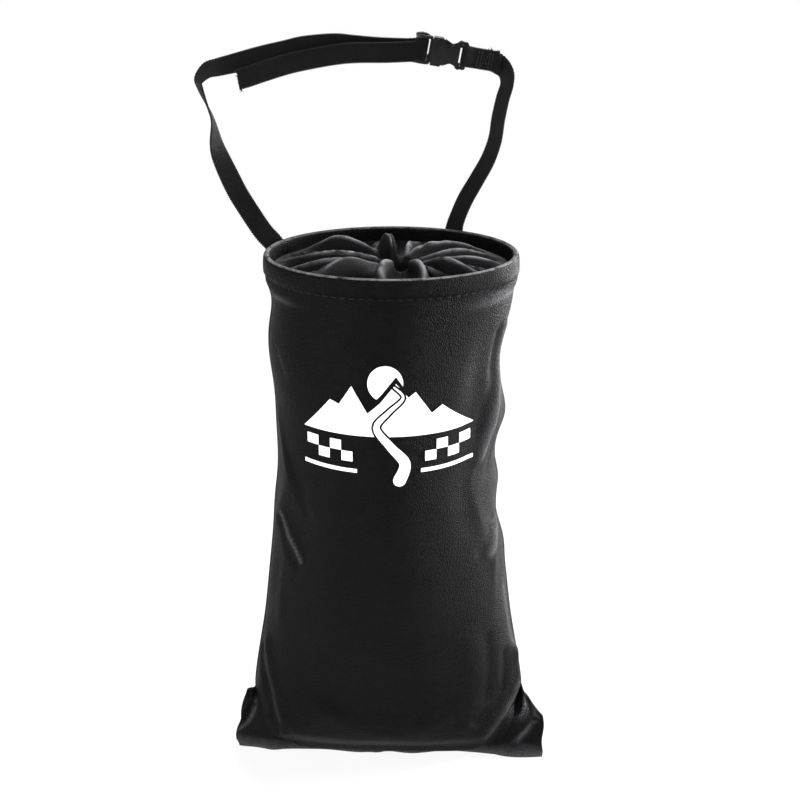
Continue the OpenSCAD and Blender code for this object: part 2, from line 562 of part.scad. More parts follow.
module long_strap() {
    up = turn_round(MIDDLE_END, 1);
    down = turn_round(MIDDLE_BAR, -1);
    ribbon(concat(seats(LEFT_SEAT), route(LEFT_ROUTE),
        threaded([[OUTER_BAR - 4, -wrap - layer], [MIDDLE_BAR, -wrap - layer],
                  [MIDDLE_END - 0.3, -wrap - layer + 0.2], [MIDDLE_END + clear * 0.8, -wrap - 0.5],
                  up[1], up[2], up[3], [MIDDLE_END, wrap], [MIDDLE_BAR, wrap], down[3], down[2], down[1],
                  [OUTER_END + 0.7 * clear, -bar_half - 0.7 * clear], [OUTER_END - 0.4, -wrap],
                  [OUTER_BAR - 4, -wrap]]),
        route(TAIL_ROUTE)), TAIL_CUT);
}

// The right webbing: sewn to the bag and sewn in a loop round the socket's bar
RIGHT_ROUTE = [
    [35.5, 49.4, -12, -24], [37.4, 49.8, -2, -32], [39, 49, 5, -43], [43.6, 48, 17, -46],
    [50.5, 47, 30, -50], [56.7, 46.5, 42, -52], [60.6, 46.2, 54, -54], [62.2, 46.2, 66, -54],
    [64.6, 46.6, 78, -56], [66.8, 47, 86, -56], [66.2, 47.4, 92.6, -38], [62, 47.5, 97.6, -8]
];
// Where the loop's two layers meet, two places on the way and where its cut end lies, all of them
// right of the bar
SEWN_FROM = 19;
SEWN_MIDDLE = 23;
SEWN_FAR = 28;
SEWN_END = 30.5;
module short_strap() {
    sewn = (web_t + web_gap) / 2;
    half_way = [(TAIL_END + SEWN_FROM) / 2, (wrap + sewn) / 2];
    ribbon(concat(seats(RIGHT_SEAT), route(RIGHT_ROUTE),
        threaded(concat([[SEWN_FAR, -sewn], [SEWN_MIDDLE, -sewn], [SEWN_FROM, -sewn],
                         [half_way[0], -half_way[1]], [TAIL_END, -wrap], [END_BAR, -wrap]],
                        turn_round(END_BAR, -1),
                        [[END_BAR, wrap], [TAIL_END, wrap], half_way, [SEWN_FROM, sewn],
                         [SEWN_MIDDLE, sewn], [SEWN_END, sewn]]))));
}

bag_body();
mouth_hoop();
closure_collar();
closure_elastic();
front_print();
long_strap();
short_strap();
buckle_plug();
buckle_socket();
upper_latch();
lower_latch();
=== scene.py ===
"""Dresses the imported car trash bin: its leather, closure, print, webbing, buckle and stage.

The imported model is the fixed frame. Lengths in the tables below are in millimetres, in that frame,
and every mesh is made in metres from them.
"""

import math
import random

import bmesh
import bpy
import numpy as np
from bpy.props import FloatProperty, FloatVectorProperty, IntProperty, PointerProperty
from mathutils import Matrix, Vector


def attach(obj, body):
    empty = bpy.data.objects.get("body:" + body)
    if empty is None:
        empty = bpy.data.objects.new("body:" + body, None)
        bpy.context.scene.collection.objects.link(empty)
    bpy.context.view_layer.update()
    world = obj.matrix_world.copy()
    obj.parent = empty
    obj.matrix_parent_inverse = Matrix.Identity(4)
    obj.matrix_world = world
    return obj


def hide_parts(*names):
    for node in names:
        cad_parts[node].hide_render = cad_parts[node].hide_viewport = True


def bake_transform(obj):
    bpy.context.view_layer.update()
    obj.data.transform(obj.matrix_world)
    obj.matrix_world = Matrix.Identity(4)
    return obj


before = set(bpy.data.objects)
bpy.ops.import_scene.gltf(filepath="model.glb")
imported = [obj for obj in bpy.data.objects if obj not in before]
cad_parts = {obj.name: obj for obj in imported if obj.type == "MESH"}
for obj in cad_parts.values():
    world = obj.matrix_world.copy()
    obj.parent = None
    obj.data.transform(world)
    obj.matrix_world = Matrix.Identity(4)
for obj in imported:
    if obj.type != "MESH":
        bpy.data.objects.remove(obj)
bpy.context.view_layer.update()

bl_info = {
    "name": "Car trash bin",
    "version": (1, 0, 0),
    "blender": (4, 5, 0),
    "location": "View3D > Sidebar > Trash bin",
    "description": "Leather bag, gathered closure, webbing loop and side-release buckle",
    "category": "Object",
}

MM = 0.001
# About how many millimetres of the bag's girth lie in one degree
DEGREE = 1.12

# Sizes that the part's source holds too
BAG_H, FLAT_W, MOUTH_W, WAIST_W, WAIST_H = 331, 200, 147, 128, 202
HIP_W, HIP_H, BASE_W, BASE_FRONT, BASE_BACK = 168, 52, 160, 17, 33
BASE_TURN, BASE_R, LEATHER_T, LEAN = 2, 8, 1.1, 3
EAR_H = {-1: 40, 1: 45}
EAR_Y = {-1: -1, 1: -13}
EAR_KNEE = {-1: 0.16, 1: 0.62}
EAR_LEAN = {-1: 7.2, 1: 13}
EAR_TRIM, EAR_DRAW = 1.4, 28
HEM_H, STITCH_PULL, HOOP_H, HOOP_T, FIT_GAP = 12.2, 2.2, 8, 1.2, 0.35
PLEATS, CLOTH_T, HOLE_R, HOLE_X, HOLE_Y = 11, 0.8, 9, 5, 2
ELASTIC_H, ELASTIC_T, CASING_TOP = 5, 1, 11.6
WEB_W, WEB_T = 11.8, 1.2
SEAM_ANGLE, SEAM_RIDGE = 5, 0.7
WALL_TOP = BAG_H - HEM_H - 1.8
MOUTH_A = MOUTH_W / 2
CAVITY = LEATHER_T + HOOP_T + 2 * FIT_GAP
FLAP = CAVITY + LEATHER_T
STITCHED = STITCH_PULL + LEATHER_T
HOOP_TOP = LEATHER_T + 0.2 + FIT_GAP
SKIRT = STITCHED + FIT_GAP + LEATHER_T + FIT_GAP
CASING = CLOTH_T + ELASTIC_T + 2 * FIT_GAP
# Soft dents and bulges of the wall: angle, height, push outwards, reach in degrees and in height
DENTS = [
    (0, 276, -2.6, 28, 14), (0, 234, 5.6, 26, 15), (2, 192, 1.8, 24, 9), (358, 168, -1.3, 24, 10),
    (0, 148, 1, 26, 10), (0, 92, -2.2, 30, 34), (180, 302, -2, 26, 12), (180, 272, 2, 26, 20),
    (180, 225, 1.2, 26, 24), (182, 178, 1.2, 26, 18), (180, 95, -2.4, 30, 38),
    (322, 262, -2.6, 11, 34), (338, 244, 1.6, 9, 26), (318, 196, -2.2, 12, 26),
    (206, 196, 1.6, 10, 22), (218, 168, -2.2, 11, 22), (203, 140, -1.4, 10, 20),
    (235, 60, -2, 16, 26), (312, 58, -1.8, 16, 24), (270, 120, 1.4, 34, 40),
    (118, 210, -3, 13, 50), (72, 160, -2.6, 14, 44), (95, 90, 2, 26, 36), (60, 250, 1.6, 16, 28),
]
# Lines of painted highlight on the leather: share, half width and a bent line
STREAKS = [
    (1, 3.2, [(345, 292), (344, 270), (345, 256), (337, 245), (331, 230), (329, 218)]),
    (0.8, 2.6, [(349, 167), (344, 161), (331, 152)]), (0.5, 3.4, [(345, 121), (347, 98), (349, 80)]),
    (1, 1.1, [(203.5, 178), (210.5, 164), (223, 152)]), (0.3, 1.4, [(203, 279), (210, 266)]),
    (0.3, 2.6, [(346.5, 53), (333.5, 42), (322.5, 31), (314.5, 21)]),
    (0.25, 1.3, [(203, 75), (212.5, 52), (219, 32)])]
# Longer folds: push, half width and a bent line of angle and height
CREASES = [
    (1.3, 8, [(309.5, 98), (310.5, 58), (306, 33)]), (-1.1, 4, [(321, 96), (321, 70), (317, 50)]),
    (1.9, 4.2, [(349, 75), (346.5, 53), (333.5, 42), (322.5, 31), (314.5, 21), (313, 12)]),
    (-2.2, 4, [(336, 76), (331, 53), (321.5, 42), (310, 34)]), (-1.8, 4, [(339, 38), (329.5, 24), (326, 12)]),
    (-2, 3.4, [(190, 76), (201.5, 56), (209, 40), (210.5, 20)]),
    (1.6, 4, [(200, 84), (212.5, 52), (219, 32), (220, 18)]),
    (1.4, 6, [(217.5, 12), (232, 29), (243.5, 45)]), (1.3, 1.8, [(203.5, 178), (210.5, 164), (223, 152)]),
    (-1.2, 2.6, [(200, 172), (206, 158), (219, 146)]), (1.5, 3.4, [(349, 167), (344, 161), (331, 152)]),
    (-1.3, 3.4, [(341, 172), (336, 164), (324, 156)]),
    (1.6, 4.2, [(345, 292), (344, 270), (345, 256), (337, 245), (331, 230), (329, 218)]),
    (-1.3, 3.4, [(337, 290), (336, 268), (337, 258), (329, 247), (324, 234)])]
# Finer folds of the leather, which are pushed out by FOLD_PUSH times their share: angle,
# height, share, half width across and along in mm, and tilt
FOLD_PUSH = 2.0
FOLDS = [
    (206, 214, 0.9, 5, 26, 28), (214, 205, -0.8, 5, 24, 30), (198, 176, 0.7, 5, 20, -30),
    (332, 232, 0.9, 5, 24, -24), (342, 214, -0.8, 5, 20, -26), (326, 180, 0.6, 6, 26, 14),
    (336, 150, 0.6, 5, 26, -12), (210, 120, 0.5, 6, 30, 10), (196, 66, 0.8, 4, 16, 36),
    (203, 58, -0.7, 4, 16, 38), (344, 66, 0.8, 4, 16, -38), (337, 56, -0.7, 4, 16, -40),
    (250, 40, 0.5, 7, 26, 60), (290, 38, 0.5, 7, 26, -60), (225, 30, 0.5, 5, 20, 44),
    (315, 30, 0.5, 5, 20, -44), (120, 250, 0.7, 7, 30, 20), (60, 220, 0.7, 7, 34, -22),
    (100, 130, 0.7, 7, 34, -14), (80, 70, 0.7, 7, 28, 16), (150, 60, 0.8, 5, 20, -36),
    (30, 60, 0.8, 5, 20, 36),
]


# Shapes that the part's source gives


def half_depth(half_width):
    """Half the depth of an oval of that half width and the bag's own girth."""
    b = 60.0
    for _ in range(6):
        lean = ((half_width - b) / (half_width + b)) ** 2
        b = 2 * FLAT_W / (math.pi * (1 + lean / 4)) - half_width
    return b


MOUTH_B = half_depth(MOUTH_A)
HIP_B, WAIST_B = half_depth(HIP_W / 2), half_depth(WAIST_W / 2)
TOP_A, TOP_B = MOUTH_A - STITCH_PULL - 0.4, MOUTH_B - STITCH_PULL - 0.4
WIDTH_AT = [(BASE_R, BASE_W / 2), (HIP_H, HIP_W / 2), (WAIST_H, WAIST_W / 2), (WALL_TOP, TOP_A)]
FRONT_AT = [(BASE_R, BASE_FRONT), (HIP_H * 0.45, (BASE_FRONT + HIP_B) * 0.56), (HIP_H, HIP_B),
            (WAIST_H, WAIST_B), (WALL_TOP, TOP_B)]
BACK_AT = [(BASE_R, BASE_BACK), (HIP_H, HIP_B), (WAIST_H, WAIST_B), (WALL_TOP, TOP_B)]
SHIFT_AT = [(BASE_R, -LEAN * 0.8), (WAIST_H, -LEAN), ((WAIST_H + WALL_TOP) / 2, -LEAN * 0.8),
            (WALL_TOP, 0)]


def along(stations, z):
    """Smooth curve through stations of height and value."""
    x, y = np.array(stations, float).T
    slope = np.empty(len(x))
    slope[1:-1] = (y[2:] - y[:-2]) / (x[2:] - x[:-2])
    slope[0], slope[-1] = (y[1] - y[0]) / (x[1] - x[0]), (y[-1] - y[-2]) / (x[-1] - x[-2])
    z = np.clip(z, x[0], x[-1])
    i = np.clip(np.searchsorted(x, z) - 1, 0, len(x) - 2)
    h = x[i + 1] - x[i]
    u = (z - x[i]) / h
    ends = y[i] * (1 + 2 * u) * (1 - u) ** 2 + y[i + 1] * u * u * (3 - 2 * u)
    return ends + h * u * (1 - u) * (slope[i] * (1 - u) - slope[i + 1] * u)


def turn(a, b):
    d = np.abs(a - b) % 360
    return np.minimum(d, 360 - d)


def signed_turn(a, b):
    return (a - b + 180) % 360 - 180


def dents(t, z):
    total = 0
    for angle, height, push, reach, rise in DENTS:
        total = total + push * np.exp(-(turn(t, angle) / reach) ** 2 - ((z - height) / rise) ** 2)
    return total


def folds(t, z):
    """Narrow soft folds, each with a rounded crest that runs at a tilt to the vertical."""
    total = 0
    for angle, height, push, across, length, tilt in FOLDS:
        side, up = signed_turn(t, angle) * DEGREE, z - height
        c, s = math.cos(math.radians(tilt)), math.sin(math.radians(tilt))
        p, q = side * c + up * s, up * c - side * s
        total = total + FOLD_PUSH * push * np.exp(-np.abs(p / across) ** 1.6 - (q / length) ** 2)
    for push, width, line in CREASES:
        total = total + push * near_line(t, z, line, width)
    return total


def near_line(t, z, line, width):
    """How near points of the wall lie to a bent line of angle and height, from 0 to 1."""
    away = np.full(np.shape(t), np.inf)
    for (t0, z0), (t1, z1) in zip(line, line[1:]):
        run, rise = (t1 - t0) * DEGREE, z1 - z0
        p, q = signed_turn(t, t0) * DEGREE, z - z0
        k = np.clip((p * run + q * rise) / (run * run + rise * rise), 0, 1)
        away = np.minimum(away, (p - k * run) ** 2 + (q - k * rise) ** 2)
    return np.exp(-away / width ** 2)


def fade(z):
    return np.clip((WALL_TOP - z) / 12, 0, 1) * np.clip((z - BASE_R) / 12, 0, 1)


def rounded(v, p):
    return np.sign(v) * np.abs(v) ** p


def wall(t, z, off=0.0, fine=True):
    """Points of the bag's wall at angles t and heights z, moved outwards by off."""
    t, z = np.broadcast_arrays(np.asarray(t, float), np.asarray(z, float))
    zz = np.maximum(z, BASE_R)
    p = np.where(zz > HIP_H, 1, 1 - 0.25 * (HIP_H - zz) / HIP_H)
    push = off + (dents(t, zz) + (folds(t, zz) if fine else 0)) * fade(zz)
    a = np.radians(t)
    depth = np.where(np.sin(a) < 0, along(FRONT_AT, zz), along(BACK_AT, zz))
    x = along(SHIFT_AT, zz) + (along(WIDTH_AT, zz) + push) * rounded(np.cos(a), p)
    turned = math.tan(math.radians(BASE_TURN)) * np.maximum(0, 1 - zz / (2 * HIP_H)) ** 2
    return np.stack([x, (depth + push) * rounded(np.sin(a), p) - x * turned, z], -1)


def ear_tip(side, z):
    knee = EAR_H[side] * EAR_KNEE[side]
    over = max(0, z - knee) / (EAR_H[side] - knee)
    under = max(0, 1 - z / 5)
    inwards = EAR_LEAN[side] * over + (2 * under if side < 0 else 0)
    wavy = 0.6 * math.sin(0.3 * z + side)
    return side * (FLAT_W / 2 - EAR_TRIM - 0.7 - inwards + wavy * min(1, z / 6)) - LEAN * 0.8


def ear_root(side, z):
    """How many degrees of the wall on each side of the seam an ear draws out at a height."""
    return SEAM_ANGLE + EAR_DRAW * max(0, 1 - z / EAR_H[side]) ** 0.8


def mouth_point(t, off, z):
    t = np.radians(np.asarray(t, float))
    x, y = (MOUTH_A - off) * np.cos(t), (MOUTH_B - off) * np.sin(t)
    return np.stack(np.broadcast_arrays(x, y, z), -1)


# Meshes


def select_only(*objects):
    if bpy.context.object and bpy.context.object.mode != "OBJECT":
        bpy.ops.object.mode_set(mode="OBJECT")
    bpy.ops.object.select_all(action="DESELECT")
    for piece in objects:
        piece.select_set(True)
    bpy.context.view_layer.objects.active = objects[-1]


def piece_from(name, points, faces, smooth=None):
    """A mesh object at the origin from points in millimetres."""
    mesh = bpy.data.meshes.new(name)
    mesh.from_pydata((np.asarray(points, float).reshape(-1, 3) * MM).tolist(), [],
                     [tuple(int(i) for i in face) for face in faces])
    piece = bpy.data.objects.new(name, mesh)
    bpy.context.scene.collection.objects.link(piece)
    if smooth is not None:
        smooth_by_angle(piece, smooth)
    return piece


def smooth_by_angle(piece, degrees):
    select_only(piece)
    bpy.ops.object.shade_smooth_by_angle(angle=math.radians(degrees))


def apply_modifiers(piece):
    select_only(piece)
    for name in [m.name for m in piece.modifiers]:
        bpy.ops.object.modifier_apply(modifier=name)


def face_outwards(piece):
    """Merges doubles and turns the faces of a closed mesh outwards."""
    mesh = bmesh.new()
    mesh.from_mesh(piece.data)
    bmesh.ops.remove_doubles(mesh, verts=mesh.verts, dist=1e-6)
    bmesh.ops.recalc_face_normals(mesh, faces=mesh.faces)
    if mesh.calc_volume(signed=True) < 0:
        bmesh.ops.reverse_faces(mesh, faces=mesh.faces)
    mesh.to_mesh(piece.data)
    mesh.free()


def ring_quads(rows, columns):
    """Quads between rings of points that each close on themselves."""
    i = np.arange(rows - 1)[:, None]
    j = np.arange(columns)[None]
    a, b, k = i * columns, (i + 1) * columns, (j + 1) % columns
    return np.stack([a + j, a + k, b + k, b + j], -1).reshape(-1, 4)


def grid_quads(rows, columns, start=0):
    a = start + np.arange(rows - 1)[:, None] * columns + np.arange(columns - 1)[None]
    return np.stack([a, a + 1, a + columns + 1, a + columns], -1).reshape(-1, 4)


def set_uv(piece, values):
    """Writes a UV map from one (u, v) per point."""
    layer = piece.data.uv_layers.new(name="UVMap")
    index = np.zeros(len(piece.data.loops), np.int32)
    piece.data.loops.foreach_get("vertex_index", index)
    layer.data.foreach_set("uv", np.asarray(values, np.float32)[index].ravel())


def set_mask(piece, name, values):
    attribute = piece.data.attributes.new(name, "FLOAT", "POINT")
    attribute.data.foreach_set("value", np.asarray(values, np.float32))


def catmull(values, steps):
    """Points on a smooth curve through values, with so many steps in each stretch."""
    v = np.asarray(values, float)
    n = len(v) - 1
    out = []
    for i in range(n):
        a, b, c, d = v[max(i - 1, 0)], v[i], v[i + 1], v[min(i + 2, n)]
        for k in range(steps[i]):
            u = k / steps[i]
            out.append(0.5 * (2 * b + (c - a) * u + (2 * a - 5 * b + 4 * c - d) * u * u
                              + (3 * b - a - 3 * c + d) * u ** 3))
    out.append(v[n])
    return np.array(out)


def unit(v):
    return v / np.linalg.norm(v, axis=-1, keepdims=True)


# Node groups and materials


def group(name, inputs, outputs):
    """An empty shader node group. An input without a value takes a vector, and all else numbers."""
    tree = bpy.data.node_groups.new(name, "ShaderNodeTree")
    for socket, value in inputs.items():
        kind = "NodeSocketVector" if value is None else "NodeSocketFloat"
        made = tree.interface.new_socket(name=socket, in_out="INPUT", socket_type=kind)
        if value is not None:
            made.default_value = value
    for socket in outputs:
        tree.interface.new_socket(name=socket, in_out="OUTPUT", socket_type="NodeSocketFloat")
    return tree, tree.nodes.new("NodeGroupInput"), tree.nodes.new("NodeGroupOutput")


def feed(tree, made, inputs):
    """Sets each of a node's inputs to a value, or links it to an output."""
    for key, value in (inputs or {}).items():
        if isinstance(value, bpy.types.NodeSocket):
            tree.links.new(value, made.inputs[key])
        else:
            made.inputs[key].default_value = value
    return made


def node(tree, kind, inputs=None, **settings):
    """A node with its settings and its inputs."""
    made = tree.nodes.new("ShaderNode" + kind)
    for key, value in settings.items():
        setattr(made, key, value)
    return feed(tree, made, inputs)


def math_node(tree, operation, *values):
    return node(tree, "Math", dict(enumerate(values)), operation=operation).outputs[0]


def blend_node(tree, factor, a, b):
    """The mix of two values by a factor."""
    return node(tree, "Mix", {0: factor, 2: a, 3: b}).outputs[0]


def colour_mix(tree, factor, a, b):
    return node(tree, "Mix", {0: factor, 6: a, 7: b}, data_type="RGBA").outputs[2]


def ramp(tree, value, low, high):
    """The value's place between low and high, eased, from 0 to 1."""
    return node(tree, "MapRange", {"Value": value, "From Min": low, "From Max": high},
                interpolation_type="SMOOTHSTEP").outputs[0]


def make_grain():
    """Pebbles of leather with the creases between them."""
    tree, given, out = group("pebble_grain", {
        "Vector": None, "Pebbles per metre": 760.0, "Fine share": 0.3}, ("Height", "Creases"))
    bend = node(tree, "TexNoise", {"Vector": given.outputs[0], "Scale": 260.0, "Detail": 2.0})
    shifted = node(tree, "VectorMath", {0: bend.outputs["Color"], 1: (0.0009, 0.0009, 0.0009)},
                   operation="MULTIPLY")
    place = node(tree, "VectorMath", {0: given.outputs[0], 1: shifted.outputs[0]}, operation="ADD")
    cells = node(tree, "TexVoronoi", {"Vector": place.outputs[0], "Scale": given.outputs[1],
                                      "Randomness": 0.9}, feature="DISTANCE_TO_EDGE")
    pebble = ramp(tree, cells.outputs["Distance"], 0.0, 0.32)
    wide = node(tree, "TexNoise", {"Vector": given.outputs[0], "Scale": 330.0, "Detail": 3.0,
                                   "Roughness": 0.6})
    fine = node(tree, "TexNoise", {"Vector": given.outputs[0], "Scale": 2600.0, "Detail": 2.0})
    rough = blend_node(tree, given.outputs[2], wide.outputs[0], fine.outputs[0])
    uneven = math_node(tree, "MULTIPLY_ADD", rough, 0.9, -0.45)
    tree.links.new(math_node(tree, "ADD", pebble, uneven), out.inputs[0])
    tree.links.new(math_node(tree, "SUBTRACT", 1.0, pebble), out.inputs[1])
    return tree


def make_uneven():
    """A tone that drifts over the surface, with small specks."""
    tree, given, out = group("uneven_tone", {"Vector": None, "Patches per metre": 22.0},
                             ("Patches", "Specks"))
    patch = node(tree, "TexNoise", {"Vector": given.outputs[0], "Scale": given.outputs[1],
                                    "Detail": 5.0, "Roughness": 0.62})
    speck = node(tree, "TexNoise", {"Vector": given.outputs[0], "Scale": 900.0, "Detail": 2.0})
    tree.links.new(ramp(tree, patch.outputs[0], 0.32, 0.68), out.inputs[0])
    tree.links.new(ramp(tree, speck.outputs[0], 0.62, 0.74), out.inputs[1])
    return tree


def make_weave():
    """A plain weave on a UV map in metres: short floats of yarn, each column half a step on."""
    tree, given, out = group("woven_floats", {
        "UV": None, "Column width": 0.00074, "Row pitch": 0.0015, "Slant": 0.0}, ("Height", "Gaps"))
    part = node(tree, "SeparateXYZ", {0: given.outputs[0]})
    column = math_node(tree, "DIVIDE", part.outputs[0], given.outputs[1])
    index = math_node(tree, "FLOOR", column)
    odd = math_node(tree, "MULTIPLY", math_node(tree, "FLOORED_MODULO", index, 2.0), 0.5)
    row = math_node(tree, "DIVIDE", part.outputs[1], given.outputs[2])
    lean = math_node(tree, "MULTIPLY", math_node(tree, "FRACT", column), given.outputs[3])
    place = math_node(tree, "FRACT", math_node(tree, "ADD", math_node(tree, "ADD", row, odd), lean))
    across = math_node(tree, "SINE", math_node(tree, "MULTIPLY", math_node(tree, "FRACT", column), math.pi))
    over = math_node(tree, "SINE", math_node(tree, "MULTIPLY", place, math.pi))
    height = math_node(tree, "MULTIPLY", math_node(tree, "POWER", across, 0.6),
                       math_node(tree, "POWER", over, 0.6))
    tree.links.new(height, out.inputs[0])
    tree.links.new(math_node(tree, "SUBTRACT", 1.0, ramp(tree, height, 0.1, 0.7)), out.inputs[1])
    return tree


def make_wear_and_highlights():
    """Rubbed edges and painted highlights, from a piece's own mask and broken up by noise."""
    tree, given, out = group("rubbed_edges_and_highlights", {
        "Vector": None, "Mask": 0.0, "Break-up per metre": 420.0}, ("Wear and highlight",))
    noise = node(tree, "TexNoise", {"Vector": given.outputs[0], "Scale": given.outputs[2],
                                    "Detail": 4.0, "Roughness": 0.7})
    tree.links.new(math_node(tree, "MULTIPLY", given.outputs[1],
                             ramp(tree, noise.outputs[0], 0.3, 0.58)), out.inputs[0])
    return tree


MAKERS = {"pebble_grain": make_grain, "uneven_tone": make_uneven, "woven_floats": make_weave,
          "rubbed_edges_and_highlights": make_wear_and_highlights}
GROUPS = {}


def use_group(tree, name, inputs):
    """A node of a shared group, which is made when it is first used."""
    if name not in GROUPS:
        GROUPS[name] = MAKERS[name]()
    made = tree.nodes.new("ShaderNodeGroup")
    made.node_tree = GROUPS[name]
    return feed(tree, made, inputs)


def material(name, **sockets):
    """A material with its Principled shader's own sockets set."""
    made = bpy.data.materials.new(name)
    made.use_nodes = True
    tree = made.node_tree
    shader = tree.nodes["Principled BSDF"]
    for key, value in sockets.items():
        shader.inputs[key.replace("_", " ")].default_value = value
    return made, tree, shader


def shade(colour, factor):
    return (*[min(1.0, c * factor) for c in colour], 1.0)


def bump(tree, shader, height, distance):
    made = node(tree, "Bump", {"Height": height, "Distance": distance})
    tree.links.new(made.outputs[0], shader.inputs["Normal"])


def attribute(tree, name):
    return node(tree, "Attribute", attribute_name=name).outputs["Fac"]


def leather_material(name, colour, pebbles, depth, roughness, specular, wear_and_highlight_scale, lit_and_rubbed_to):
    """Pebbled leather. A piece's masks lighten it with painted highlights and real scuffs, paint streaks of
    highlight and a reflection of the floor on it, paint shade into its valleys, and show its bare back.
    """
    made, tree, shader = material(name, Specular_IOR_Level=specular, Roughness=roughness)
    place = node(tree, "TexCoord").outputs["Object"]
    grain = use_group(tree, "pebble_grain", {
        "Vector": place, "Pebbles per metre": pebbles, "Fine share": 0.25})
    tone = use_group(tree, "uneven_tone", {"Vector": place, "Patches per metre": 26.0})
    wear_and_sheen = use_group(tree, "rubbed_edges_and_highlights", {
        "Vector": place, "Mask": attribute(tree, "wear_and_highlight"), "Break-up per metre": wear_and_highlight_scale})
    toned = colour_mix(tree, tone.outputs[0], shade(colour, 0.7), shade(colour, 1.4))
    # Painted shade: darker in the closure's valleys and in the neck of its hole
    hollow_shade = math_node(tree, "MULTIPLY", attribute(tree, "hollow_shade"), 0.85)
    valley_shaded = colour_mix(tree, hollow_shade, toned, shade(colour, 0.1))
    # Painted highlight streaks down the bag, and a painted reflection of the floor along the front of the
    # base
    base = colour_mix(tree, attribute(tree, "streaked"), valley_shaded, shade(colour, 22))
    creased = colour_mix(tree, math_node(tree, "MULTIPLY", grain.outputs[1], 0.5), base,
                         shade(colour, 0.35))
    # Painted highlight on the closure's crests, the top of the rim, the ears' crests and below the hem; real
    # scuffs on the ears' edges, and slightly lighter round the base's edge
    rubbed_and_lit = colour_mix(tree, math_node(tree, "MULTIPLY", wear_and_sheen.outputs[0], 0.6), creased,
                        shade(colour, lit_and_rubbed_to))
    nap = node(tree, "TexNoise", {"Vector": place, "Scale": 1500.0, "Detail": 2.0})
    flesh = math_node(tree, "MULTIPLY", attribute(tree, "bare"), ramp(tree, nap.outputs[0], 0.42, 0.62))
    tree.links.new(colour_mix(tree, flesh, rubbed_and_lit, shade(colour, 60)), shader.inputs["Base Color"])
    streaked = node(tree, "VectorMath", {0: place, 1: (1.0, 1.0, 4.5)}, operation="MULTIPLY")
    lines = node(tree, "TexNoise", {"Vector": streaked.outputs[0], "Scale": 190.0, "Detail": 4.0,
                                    "Roughness": 0.6})
    patchy = math_node(tree, "MULTIPLY_ADD", tone.outputs[0], 0.1, roughness - 0.05)
    rough = math_node(tree, "MULTIPLY_ADD", grain.outputs[1], 0.18, patchy)
    tree.links.new(math_node(tree, "MULTIPLY_ADD", hollow_shade, 0.5, rough), shader.inputs["Roughness"])
    height = math_node(tree, "MULTIPLY_ADD", lines.outputs[0], 1.6, grain.outputs[0])
    bump(tree, shader, height, depth)
    return made


def webbing_material(name, colour):
    """Woven yarn on the strap's own UV map, paler along its rubbed selvedges."""
    made, tree, shader = material(name, Specular_IOR_Level=0.1, Roughness=0.85,
                                  Sheen_Weight=0.03, Sheen_Roughness=0.45)
    place = node(tree, "TexCoord")
    weave = use_group(tree, "woven_floats", {"UV": place.outputs["UV"], "Slant": 0.3})
    tone = use_group(tree, "uneven_tone", {"Vector": place.outputs["Object"], "Patches per metre": 40.0})
    wear_and_sheen = use_group(tree, "rubbed_edges_and_highlights", {
        "Vector": place.outputs["Object"], "Mask": attribute(tree, "wear_and_highlight")})
    base = colour_mix(tree, tone.outputs[0], shade(colour, 0.75), shade(colour, 1.35))
    deep = colour_mix(tree, weave.outputs[1], base, shade(colour, 0.2))
    rubbed_and_lit = colour_mix(tree, math_node(tree, "MULTIPLY", wear_and_sheen.outputs[0], 0.45), deep,
                        shade(colour, 3.4))
    tree.links.new(rubbed_and_lit, shader.inputs["Base Color"])
    fibre = node(tree, "TexNoise", {"Vector": place.outputs["UV"], "Scale": 5200.0, "Detail": 2.0})
    height = math_node(tree, "MULTIPLY_ADD", fibre.outputs[0], 0.35, weave.outputs[0])
    tree.links.new(math_node(tree, "MULTIPLY_ADD", weave.outputs[1], 0.12, 0.78),
                   shader.inputs["Roughness"])
    bump(tree, shader, height, 0.00022)
    return made


def plastic_material(name, colour):
    made, tree, shader = material(name, Specular_IOR_Level=0.2, Roughness=0.3)
    place = node(tree, "TexCoord").outputs["Object"]
    tone = use_group(tree, "uneven_tone", {"Vector": place, "Patches per metre": 120.0})
    wear_and_sheen = use_group(tree, "rubbed_edges_and_highlights", {
        "Vector": place, "Mask": attribute(tree, "wear_and_highlight"), "Break-up per metre": 900.0})
    base = colour_mix(tree, tone.outputs[0], shade(colour, 0.9), shade(colour, 1.15))
    tree.links.new(colour_mix(tree, math_node(tree, "MULTIPLY", wear_and_sheen.outputs[0], 0.4), base,
                              shade(colour, 4.0)), shader.inputs["Base Color"])
    tree.links.new(math_node(tree, "MULTIPLY_ADD", tone.outputs[0], 0.12, 0.26),
                   shader.inputs["Roughness"])
    spark = node(tree, "TexNoise", {"Vector": place, "Scale": 2400.0, "Detail": 3.0})
    bump(tree, shader, spark.outputs[0], 0.00003)
    return made


def thread_material(name, colour):
    made, tree, shader = material(name, Specular_IOR_Level=0.3, Roughness=0.6)
    place = node(tree, "TexCoord").outputs["Object"]
    tone = use_group(tree, "uneven_tone", {"Vector": place, "Patches per metre": 300.0})
    tree.links.new(colour_mix(tree, tone.outputs[0], shade(colour, 0.7), shade(colour, 1.5)),
                   shader.inputs["Base Color"])
    twist = node(tree, "TexWave", {"Vector": place, "Scale": 420.0, "Distortion": 2.0},
                 bands_direction="DIAGONAL")
    bump(tree, shader, twist.outputs["Fac"], 0.00008)
    return made


